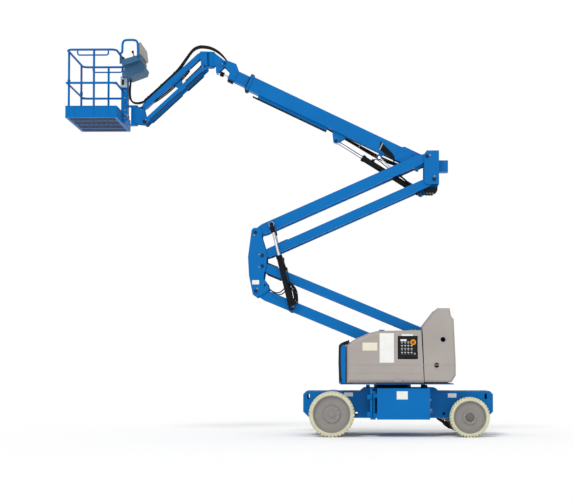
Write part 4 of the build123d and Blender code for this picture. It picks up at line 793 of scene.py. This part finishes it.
boomCylinder = {
    "ports": (0.09, 0.82), "portLength": 0.045, "gland": ((0.955, 0), (1.0, 0)), "glandRadius": 0.05,
    "hose": ((0.84, 0.066), (0.83, 0.09), (0.78, 0.1), (0.6, 0.07), (0.4, 0.058), (0.2, 0.058), (0.13, 0.064)),
}
shape = bmesh.new()
for along in boomCylinder["ports"]:
    addArmBar(shape, "boom_barrel", along, along + boomCylinder["portLength"], 0.03, 0.066, -0.018, 0.018)
addRod(shape, *alongArm("boom_barrel", boomCylinder["gland"]), boomCylinder["glandRadius"], segments=36)
finishPiece("boom_cylinder_ports", shape, blackEnamel, "boom_barrel", 0.003)
makeHoses("boom_cylinder_hoses", [alongArm("boom_barrel", boomCylinder["hose"])], 0.007, hoseRubber, "boom_barrel")
# a hollow folded sleeve over the slave rod, wide enough to slide over its barrel
bellows = {"from": 0.478, "to": 0.532, "folds": 4, "inner": 0.0285, "low": 0.031, "high": 0.038}
step = (bellows["to"] - bellows["from"]) / bellows["folds"]
outline = [(bellows["inner"], bellows["from"]), (bellows["inner"], bellows["to"])]
for number in range(bellows["folds"], 0, -1):
    outline += [(bellows["low"], bellows["from"] + number * step),
                (bellows["high"], bellows["from"] + (number - 0.5) * step)]
outline.append((bellows["low"], bellows["from"]))
axis = (onArm("slave_barrel", 1) - onArm("slave_barrel", 0)).normalized()
across = Vector((-axis.z, 0, axis.x))
shape = bmesh.new()
corners = [shape.verts.new(onArm("slave_barrel", along) + across * radius) for radius, along in outline]
edges = [shape.edges.new((corners[i - 1], corners[i])) for i in range(len(corners))]
bmesh.ops.spin(shape, geom=corners + edges, cent=onArm("slave_barrel", 0), axis=axis, angle=2 * math.pi, steps=28,
               use_merge=True)
finishPiece("slave_bellows", shape, hoseRubber, "slave_rod", 0, 30)

manifold = {
    "outline": ((2.1, 3.5), (2.24, 3.5), (2.275, 3.53), (2.275, 3.58), (2.1, 3.58)), "y": (0.068, 0.106),
    "fittings": (2.125, 2.165, 2.205), "fittingY": 0.087, "fittingZ": (3.505, 3.478), "hoseRadius": 0.008,
}
blocks, fittings, riserHoses = bmesh.new(), bmesh.new(), []
for side, _ in bothSides:
    addSidePlate(blocks, side, manifold["outline"], manifold["y"])
    for x in manifold["fittings"]:
        top, foot = ((x, manifold["fittingY"], z) for z in manifold["fittingZ"])
        addSideRod(fittings, side, top, foot, 0.012, segments=6)
for number, x in enumerate(manifold["fittings"]):
    shift = 0.02 * number
    riserHoses.append([(x, -0.087, 3.485), (x, -0.087, 3.468), (x - 0.03, -0.088, 3.462), (x - 0.07, -0.09, 3.49),
                       (x - 0.075, -0.092, 3.56), (2.06 + shift, -0.093, 3.66), (2.1 + shift, -0.093, 3.78)])
finishPiece("riser_manifold", blocks, blackEnamel, "riser", 0.003)
finishPiece("riser_fittings", fittings, zincSteel, "riser")
makeHoses("riser_hoses", riserHoses, manifold["hoseRadius"], hoseRubber, "riser")
print("boom done")


# ---- jib: hose bundle over the knuckle and down the arm, pads under the links

# each hose in the bundle: its y and its height over the lower row
bundle = ((-0.033, 0.0), (-0.011, 0.0), (0.011, 0.0), (0.033, 0.0), (-0.022, 0.019), (0.0, 0.019), (0.022, 0.019))
bundleRadius = 0.0092
jibLine = ((0.33, 0.07), (0.45, 0.053), (0.6, 0.051), (0.8, 0.051), (0.95, 0.051), (1.082, 0.056))
knuckleRuns, jibRuns, platformRuns = [], [], []
for y, high in bundle:
    knuckleRuns.append([(-0.79, y, 5.452), (-0.864, y, 5.54 + high), (-0.975, y, 5.618 + high),
                        (-1.065, y, 5.65 + high), (-1.175, y, 5.654 + high)])
    jibRuns.append([(-1.165, y, 5.654 + high), (-1.25, y, 5.646 + high), (-1.32, y, 5.58 + high)]
                   + alongArm("jib_arm", [(reach, rise + high) for reach, rise in jibLine], y))
    # the loop down to the mount and up to the console, where the bundle narrows
    near, lift = y * 0.7, high * 0.5
    platformRuns.append([(-1.978, near, 4.868 + lift), (-2.045, near, 4.828 + lift), (-2.155, near, 4.825 + lift),
                         (-2.205 + lift, near, 4.88), (-2.219 + lift, near, 4.97), (-2.216 + lift, y * 0.5, 5.08),
                         (-2.19, y * 0.4, 5.2), (-2.2, y * 0.4, 5.34)])
for hoseName, runs, body in (("knuckle_hoses", knuckleRuns, "jib_bracket"), ("jib_hoses", jibRuns, "jib_arm"),
                             ("platform_hoses", platformRuns, "platform")):
    makeHoses(hoseName, runs, bundleRadius, hoseRubber, body)
shape = bmesh.new()
for reach in (0.48, 0.74, 1.0):
    addArmBar(shape, "jib_arm", reach, reach + 0.014, 0.0395, 0.084, -0.046, 0.046)
finishPiece("jib_hose_clamps", shape, blackEnamel, "jib_arm", 0.002)
linkPads = {
    "outlines": (((0.08, -0.0285), (0.42, -0.0285), (0.4, -0.046), (0.1, -0.046)),
                 ((0.5, -0.0285), (1.12, -0.0285), (1.1, -0.04), (0.52, -0.04))),
    "y": (0.119, 0.141), "boss": 1.186, "bossY": (0.117, 0.143), "bossRadius": 0.031,
}
jibUnder = {"y": 0.0405, "line": ((0.3, -0.045), (0.36, -0.062), (0.55, -0.075), (0.8, -0.07), (0.96, -0.05),
                                  (1.0, -0.035)), "radius": 0.009}
shape = bmesh.new()
for side, _ in bothSides:
    for outline in linkPads["outlines"]:
        addArmPlate(shape, "jib_links", outline, side * linkPads["y"][0], side * linkPads["y"][1])
    start, end = (onArm("jib_links", linkPads["boss"], 0, side * y) for y in linkPads["bossY"])
    addRod(shape, start, end, linkPads["bossRadius"], segments=28)
finishPiece("jib_link_pads", shape, blackAbs, "jib_links", 0.002)
makeHoses("jib_under_hoses", [alongArm("jib_arm", jibUnder["line"], side * jibUnder["y"]) for side, _ in bothSides],
          jibUnder["radius"], hoseRubber, "jib_arm")
shape = bmesh.new()
addArmPlate(shape, "boom", ((3.03, -0.236), (3.11, -0.236), (3.105, -0.2055), (3.03, -0.2055)), -0.05, 0.05)
finishPiece("extension_pad", shape, blackAbs, "boom_extension", 0.003)
print("jib done")


# ---- platform: hoop, console and document box

platformAt = {"inner": -2.2981, "outer": -3.0331, "low": 4.5187, "floor": 4.5587, "half": 0.585, "mid": 5.0187,
              "postX": -2.6306, "railOutX": -3.0151, "railInX": -2.3161, "railY": 0.567, "gateY": 0.437}
hoop = {"y": -0.318, "radius": 0.0165, "line": (
    (platformAt["railInX"], 5.4947), (-2.29, 5.4947), (-2.272, 5.51), (-2.27, 5.56), (-2.27, 5.66), (-2.235, 5.692),
    (-2.16, 5.692), (-2.09, 5.692), (-2.05, 5.67), (-2.045, 5.6), (-2.045, 5.45))}
makeHoses("console_hoop", [[(x, hoop["y"], z) for x, z in hoop["line"]]], hoop["radius"], blueEnamel, "platform")
console = {
    # the body stands on the upright's head, the wide tray on it carries the face, and the lid is folded up
    "body": ((-2.2941, 5.181), (-2.2381, 5.4207), (-2.0581, 5.4707), (-1.9581, 5.3307), (-1.9781, 5.2607),
             (-2.1981, 5.181)),
    "tray": ((-2.285, 5.411), (-2.285, 5.345), (-2.262, 5.325), (-2.035, 5.4), (-2.012, 5.42), (-2.018, 5.484),
             (-2.045, 5.4775)),
    "bracket": ((-2.322, 5.36), (-2.28, 5.36), (-2.28, 5.4), (-2.3, 5.5), (-2.322, 5.5)),
    "lid": ((-2.046, 5.487), (-2.052, 5.64), (-2.036, 5.664), (-2.006, 5.664), (-1.988, 5.51), (-2.0, 5.487)),
    "face": ((-2.276, 5.4135), (-2.062, 5.473), (-2.0635, 5.478), (-2.2775, 5.4185)),
    "bodyHalf": 0.19, "half": 0.3, "bracketY": (0.25, 0.258), "hinge": (-2.042, 5.4835), "hingeY": (-0.23, 0.23),
    "faceEdges": ((-2.276, 5.4185), (-2.063, 5.478)), "toggleY": (-0.2, -0.155, -0.11, -0.02, 0.025, 0.07, 0.115),
    "toggleRows": (0.22, 0.5), "stickY": (-0.235, 0.18), "stickRow": 0.76, "stop": (0.42, 0.235),
}
shape = bmesh.new()
addPlate(shape, console["body"], -console["bodyHalf"], console["bodyHalf"])
finishPiece("console_body", shape, consoleEnamel, "platform", 0.004, 35, ("platform_controls",))
shape = bmesh.new()
addPlate(shape, console["tray"], -console["half"], console["half"])
for side, _ in bothSides:
    addSidePlate(shape, side, console["bracket"], console["bracketY"])
finishPiece("console_tray", shape, consoleEnamel, "platform", 0.004)
shape = bmesh.new()
addPlate(shape, console["lid"], -console["half"] + 0.004, console["half"] - 0.004)
finishPiece("console_cover", shape, lidPlastic, "platform", 0.008)
shape = bmesh.new()
addPlate(shape, console["face"], -console["half"] + 0.02, console["half"] - 0.02)
hingeX, hingeZ = console["hinge"]
for y in console["hingeY"]:
    addRod(shape, (hingeX, y - 0.03, hingeZ), (hingeX, y + 0.03, hingeZ), 0.006, segments=16)
finishPiece("console_face", shape, blackAbs, "platform", 0.001)
slopeUp = Vector((-0.268, 0, 0.963)).normalized()


def onConsole(along, y, lift=0.0):
    # a point on the control face: along runs from its outer to its inner edge
    start, end = (Vector((x, y, z)) for x, z in console["faceEdges"])
    return start.lerp(end, along) + slopeUp * lift


shape = bmesh.new()
for y in console["toggleY"]:
    for along in console["toggleRows"]:
        addRod(shape, onConsole(along, y), onConsole(along, y, 0.006), 0.008, segments=6)
        addRod(shape, onConsole(along, y, 0.005), onConsole(along - 0.04, y, 0.022), 0.0028, 0.004, 12)
finishPiece("console_toggles", shape, zincSteel, "platform")
shape = bmesh.new()
for y in console["stickY"]:
    row = console["stickRow"]
    addRod(shape, onConsole(row, y), onConsole(row, y, 0.014), 0.024, 0.018, 28)
    addRod(shape, onConsole(row, y, 0.012), onConsole(row, y, 0.06), 0.007, 0.006, 20)
    addRod(shape, onConsole(row, y, 0.055), onConsole(row, y, 0.09), 0.014, 0.017, 24)
finishPiece("console_joysticks", shape, blackAbs, "platform", 0.002)
makeStop("console", onConsole(*console["stop"]), slopeUp, "platform", {
    "ring": 0.024, "ringSegments": 32, "stem": 0.01, "stemTop": 0.016, "head": (0.018, 0.02), "top": 0.026,
    "headSegments": 28, "bevel": 0.002})

documentBox = {
    "box": ((-2.33, -0.122, 5.045), (-2.24, -0.0705, 5.2)), "wall": 0.003,
    "lid": ((-2.33, 5.196), (-2.24, 5.196), (-2.238, 5.206), (-2.332, 5.206)), "lidY": (-0.124, -0.07),
    "plate": ((-2.312, 5.08), (-2.276, 5.08), (-2.276, 5.16), (-2.312, 5.16)), "plateY": (-0.1222, -0.1236),
}
shape = bmesh.new()
addBox(shape, *documentBox["box"])
bmesh.ops.delete(shape, geom=[f for f in shape.faces if f.normal.z > 0.9], context="FACES_ONLY")
bmesh.ops.solidify(shape, geom=shape.faces[:], thickness=documentBox["wall"])
addPlate(shape, documentBox["lid"], *documentBox["lidY"])
finishPiece("document_box", shape, boxPlastic, "platform", 0.002)
shape = bmesh.new()
addPlate(shape, documentBox["plate"], *documentBox["plateY"])
finishPiece("document_box_plate", shape, blackAbs, "platform")


# ---- platform floor and posts: raised bars on top, a closed pan with drain holes beneath, ribs and sockets

shape = bmesh.new()
treadSize = {"pitch": 0.042, "length": 0.03, "width": 0.0075, "height": 0.0018, "margin": 0.06}
columns = int((platformAt["inner"] - platformAt["outer"] - treadSize["margin"]) / treadSize["pitch"])
rows = int((2 * platformAt["half"] - treadSize["margin"]) / treadSize["pitch"])
for column in range(columns):
    for row in range(rows):
        spot = Vector((platformAt["outer"] + 0.04 + column * treadSize["pitch"],
                       -platformAt["half"] + 0.045 + row * treadSize["pitch"], platformAt["floor"]))
        turn = math.radians(45 if (column + row) % 2 else -45)
        along = Vector((math.cos(turn), math.sin(turn), 0)) * treadSize["length"] / 2
        across = Vector((-along.y, along.x, 0)).normalized() * treadSize["width"] / 2
        tips = [shape.verts.new(spot + end) for end in (along, across, -along, -across)]
        top = shape.verts.new(spot + Vector((0, 0, treadSize["height"])))
        for i in range(4):
            shape.faces.new((tips[i - 1], tips[i], top))
finishPiece("tread_bars", shape, zincSteel, "platform")
pan = {"margin": 0.007, "low": platformAt["low"] + 0.0005, "high": platformAt["low"] + 0.0035,
       "drains": (9, 13), "drainStart": (platformAt["outer"] + 0.085, -0.504), "drainPitch": (0.07, 0.084),
       "drainRadius": 0.014}
# the pan takes the dark copy of the platform blue, which is painted shade beneath the floor
shape = bmesh.new()
panHalf = platformAt["half"] - pan["margin"]
addBox(shape, (platformAt["outer"] + pan["margin"], -panHalf, pan["low"]),
       (platformAt["inner"] - pan["margin"], panHalf, pan["high"]))
finishPiece("floor_pan", shape, undersideShadeEnamel, "platform")
# the drain holes are black discs: painted shade standing in for the dark inside each hole
shape = bmesh.new()
for column in range(pan["drains"][0]):
    for row in range(pan["drains"][1]):
        x, y = (start + pitch * number for start, pitch, number in zip(
            pan["drainStart"], pan["drainPitch"], (column, row)))
        # none under a post
        if abs(x - platformAt["postX"]) > 0.02 or abs(abs(y) - platformAt["railY"]) > 0.03:
            addRod(shape, (x, y, pan["low"] - 0.0006), (x, y, pan["low"] + 0.001), pan["drainRadius"], segments=16)
finishPiece("drain_hole_shade_discs", shape, blackAbs, "platform")
# toe boards: a folded rim, pressed ribs and a corner plate
toeBoard = {"rimZ": (4.68, 4.688), "ribX": (-2.9, platformAt["postX"], -2.42), "ribZ": (4.54, 4.67),
            "corner": ((-2.385, -0.002, 4.53), (-2.3, 0.003, 4.682))}
postSockets = ((platformAt["railOutX"], platformAt["gateY"]), (platformAt["postX"], platformAt["railY"]))
ribs, sockets, bolts = bmesh.new(), bmesh.new(), bmesh.new()
for side, _ in bothSides:
    board = platformAt["half"]
    addSideBox(ribs, side, (platformAt["outer"] + 0.002, board - 0.01, toeBoard["rimZ"][0]),
               (platformAt["inner"] - 0.002, board + 0.0045, toeBoard["rimZ"][1]))
    for x in toeBoard["ribX"]:
        start, end = ((x, board + 0.0005, z) for z in toeBoard["ribZ"])
        addSideRod(ribs, side, start, end, 0.004, segments=12)
    low, high = ((x, board + y, z) for x, y, z in toeBoard["corner"])
    addSideBox(ribs, side, low, high)
    for x, y in postSockets:
        addSideRod(sockets, side, (x, y, platformAt["floor"]), (x, y, platformAt["floor"] + 0.02), 0.023, 0.02)
    for x in (platformAt["railOutX"], platformAt["postX"], platformAt["railInX"]):
        start, end = ((x, platformAt["railY"], platformAt["mid"] + z) for z in (-0.012, 0.012))
        addSideRod(sockets, side, start, end, 0.0185)
    addSideBox(bolts, side, (-2.244, 0.07, 4.62), (-2.231, 0.085, 4.66))
    for z in (4.60, 4.66, 4.72, 4.9, 5.0):
        addBolt(bolts, (-2.272, side * 0.07, z), (0, side, 0), 0.008, 0.008)
finishPiece("toe_board_ribs", ribs, blueEnamel, "platform", 0.0015)
finishPiece("post_sockets", sockets, blueEnamel, "platform", 0.002)
finishPiece("upright_bolts", bolts, zincSteel, "platform")
print("platform done")


# ---- under the covers: pump and motor; rims of the access holes in the rear covers

pump = {"fillerX": (1.16, 1.4), "fillerY": -0.4, "motorY": -0.25, "motorZ": 1.175, "motorX": (1.1, 1.3, 1.34),
        "foot": ((1.08, -0.3, 1.119), (1.36, -0.2, 1.13)), "blockY": (-0.32, -0.18),
        "block": ((1.36, 1.12), (1.46, 1.12), (1.46, 1.2), (1.42, 1.22), (1.36, 1.22))}
shape = bmesh.new()
for x in pump["fillerX"]:
    addRod(shape, (x, pump["fillerY"], 1.12), (x, pump["fillerY"], 1.15), 0.035, 0.03, 28)
tail, joint, head = ((x, pump["motorY"], pump["motorZ"]) for x in pump["motorX"])
addRod(shape, tail, joint, 0.055, segments=36)
addRod(shape, joint, head, 0.062, segments=36)
addBox(shape, *pump["foot"])
addPlate(shape, pump["block"], *pump["blockY"])
finishPiece("pump_and_motor", shape, blackEnamel, "turntable", 0.003)
holeRims = {"places": ((2.22, 1.003), (2.31, 1.363)), "radii": (0.035, 0.041), "y": (0.7005, 0.7035)}
shape = bmesh.new()
for side, _ in bothSides:
    (inner, outer), (yIn, yOut) = holeRims["radii"], (side * y for y in holeRims["y"])
    for x, z in holeRims["places"]:
        addRing(shape, Vector((x, 0, z)), [(inner, yIn), (outer, yIn), (outer, yOut), (inner, yOut)], 40)
finishPiece("access_hole_rims", shape, greyCover, "turntable")
print("turntable inside done")


# ---- camera, light and floor

# lens and sensor in millimetres, shift in shares of the width, turn in degrees
cameraAt = {"lens": 84.757, "sensor": 36, "shift": (-0.08001, 0.1208), "place": (1.0929, -19.5646, 0.9882),
            "turn": (92, 0, 1), "reach": 200}
camera = bpy.data.cameras.new("camera")
camera.sensor_width = cameraAt["sensor"]
camera.lens = cameraAt["lens"]
camera.shift_x, camera.shift_y = cameraAt["shift"]
camera.clip_end = cameraAt["reach"]
cameraObject = bpy.data.objects.new("camera", camera)
cameraObject.location = cameraAt["place"]
cameraObject.rotation_euler = [math.radians(v) for v in cameraAt["turn"]]
bpy.context.scene.collection.objects.link(cameraObject)
bpy.context.scene.camera = cameraObject

floorShape = bmesh.new()
bmesh.ops.create_grid(floorShape, x_segments=1, y_segments=1, size=60)
floorMesh = bpy.data.meshes.new("floor")
floorShape.to_mesh(floorMesh)
floorShape.free()
floor = bpy.data.objects.new("floor", floorMesh)
bpy.context.scene.collection.objects.link(floor)
floorMaterial, _, floorShader, _ = startMaterial("pale_floor", "#FFFFFF", 0.95)
floorShader.inputs["Specular IOR Level"].default_value = 0.0
floorMesh.materials.append(floorMaterial)

world = bpy.data.worlds.new("studio")
bpy.context.scene.world = world
world.use_nodes = True
worldTree = world.node_tree
ambient = worldTree.nodes["Background"]
ambient.inputs["Color"].default_value = toLinear("#FFFFFF")
ambient.inputs["Strength"].default_value = 0.735
backdrop = addNode(worldTree, "ShaderNodeBackground", {"Color": toLinear("#FFFFFF"), "Strength": 1.0})
rays = addNode(worldTree, "ShaderNodeLightPath")
seen = addNode(worldTree, "ShaderNodeMath", {"operation": "MAXIMUM"})
worldTree.links.new(rays.outputs["Is Camera Ray"], seen.inputs[0])
worldTree.links.new(rays.outputs["Is Transmission Ray"], seen.inputs[1])
mixed = addNode(worldTree, "ShaderNodeMixShader", None, {"Fac": seen.outputs["Value"]})
worldTree.links.new(ambient.outputs["Background"], mixed.inputs[1])
worldTree.links.new(backdrop.outputs["Background"], mixed.inputs[2])
worldTree.links.new(mixed.outputs["Shader"], worldTree.nodes["World Output"].inputs["Surface"])

# turn and angle in degrees
lamps = {
    "key": {"turn": (38, 0, -28), "strength": 0.98, "angle": 16},
    "front": {"turn": (78, 0, 6), "strength": 0.43, "angle": 30},
}
for lampName, values in lamps.items():
    lamp = bpy.data.lights.new(lampName, "SUN")
    lamp.energy = values["strength"]
    lamp.angle = math.radians(values["angle"])
    lampObject = bpy.data.objects.new(lampName, lamp)
    lampObject.rotation_euler = [math.radians(v) for v in values["turn"]]
    bpy.context.scene.collection.objects.link(lampObject)

bpy.context.scene.view_settings.view_transform = "Standard"
print("camera and light done")
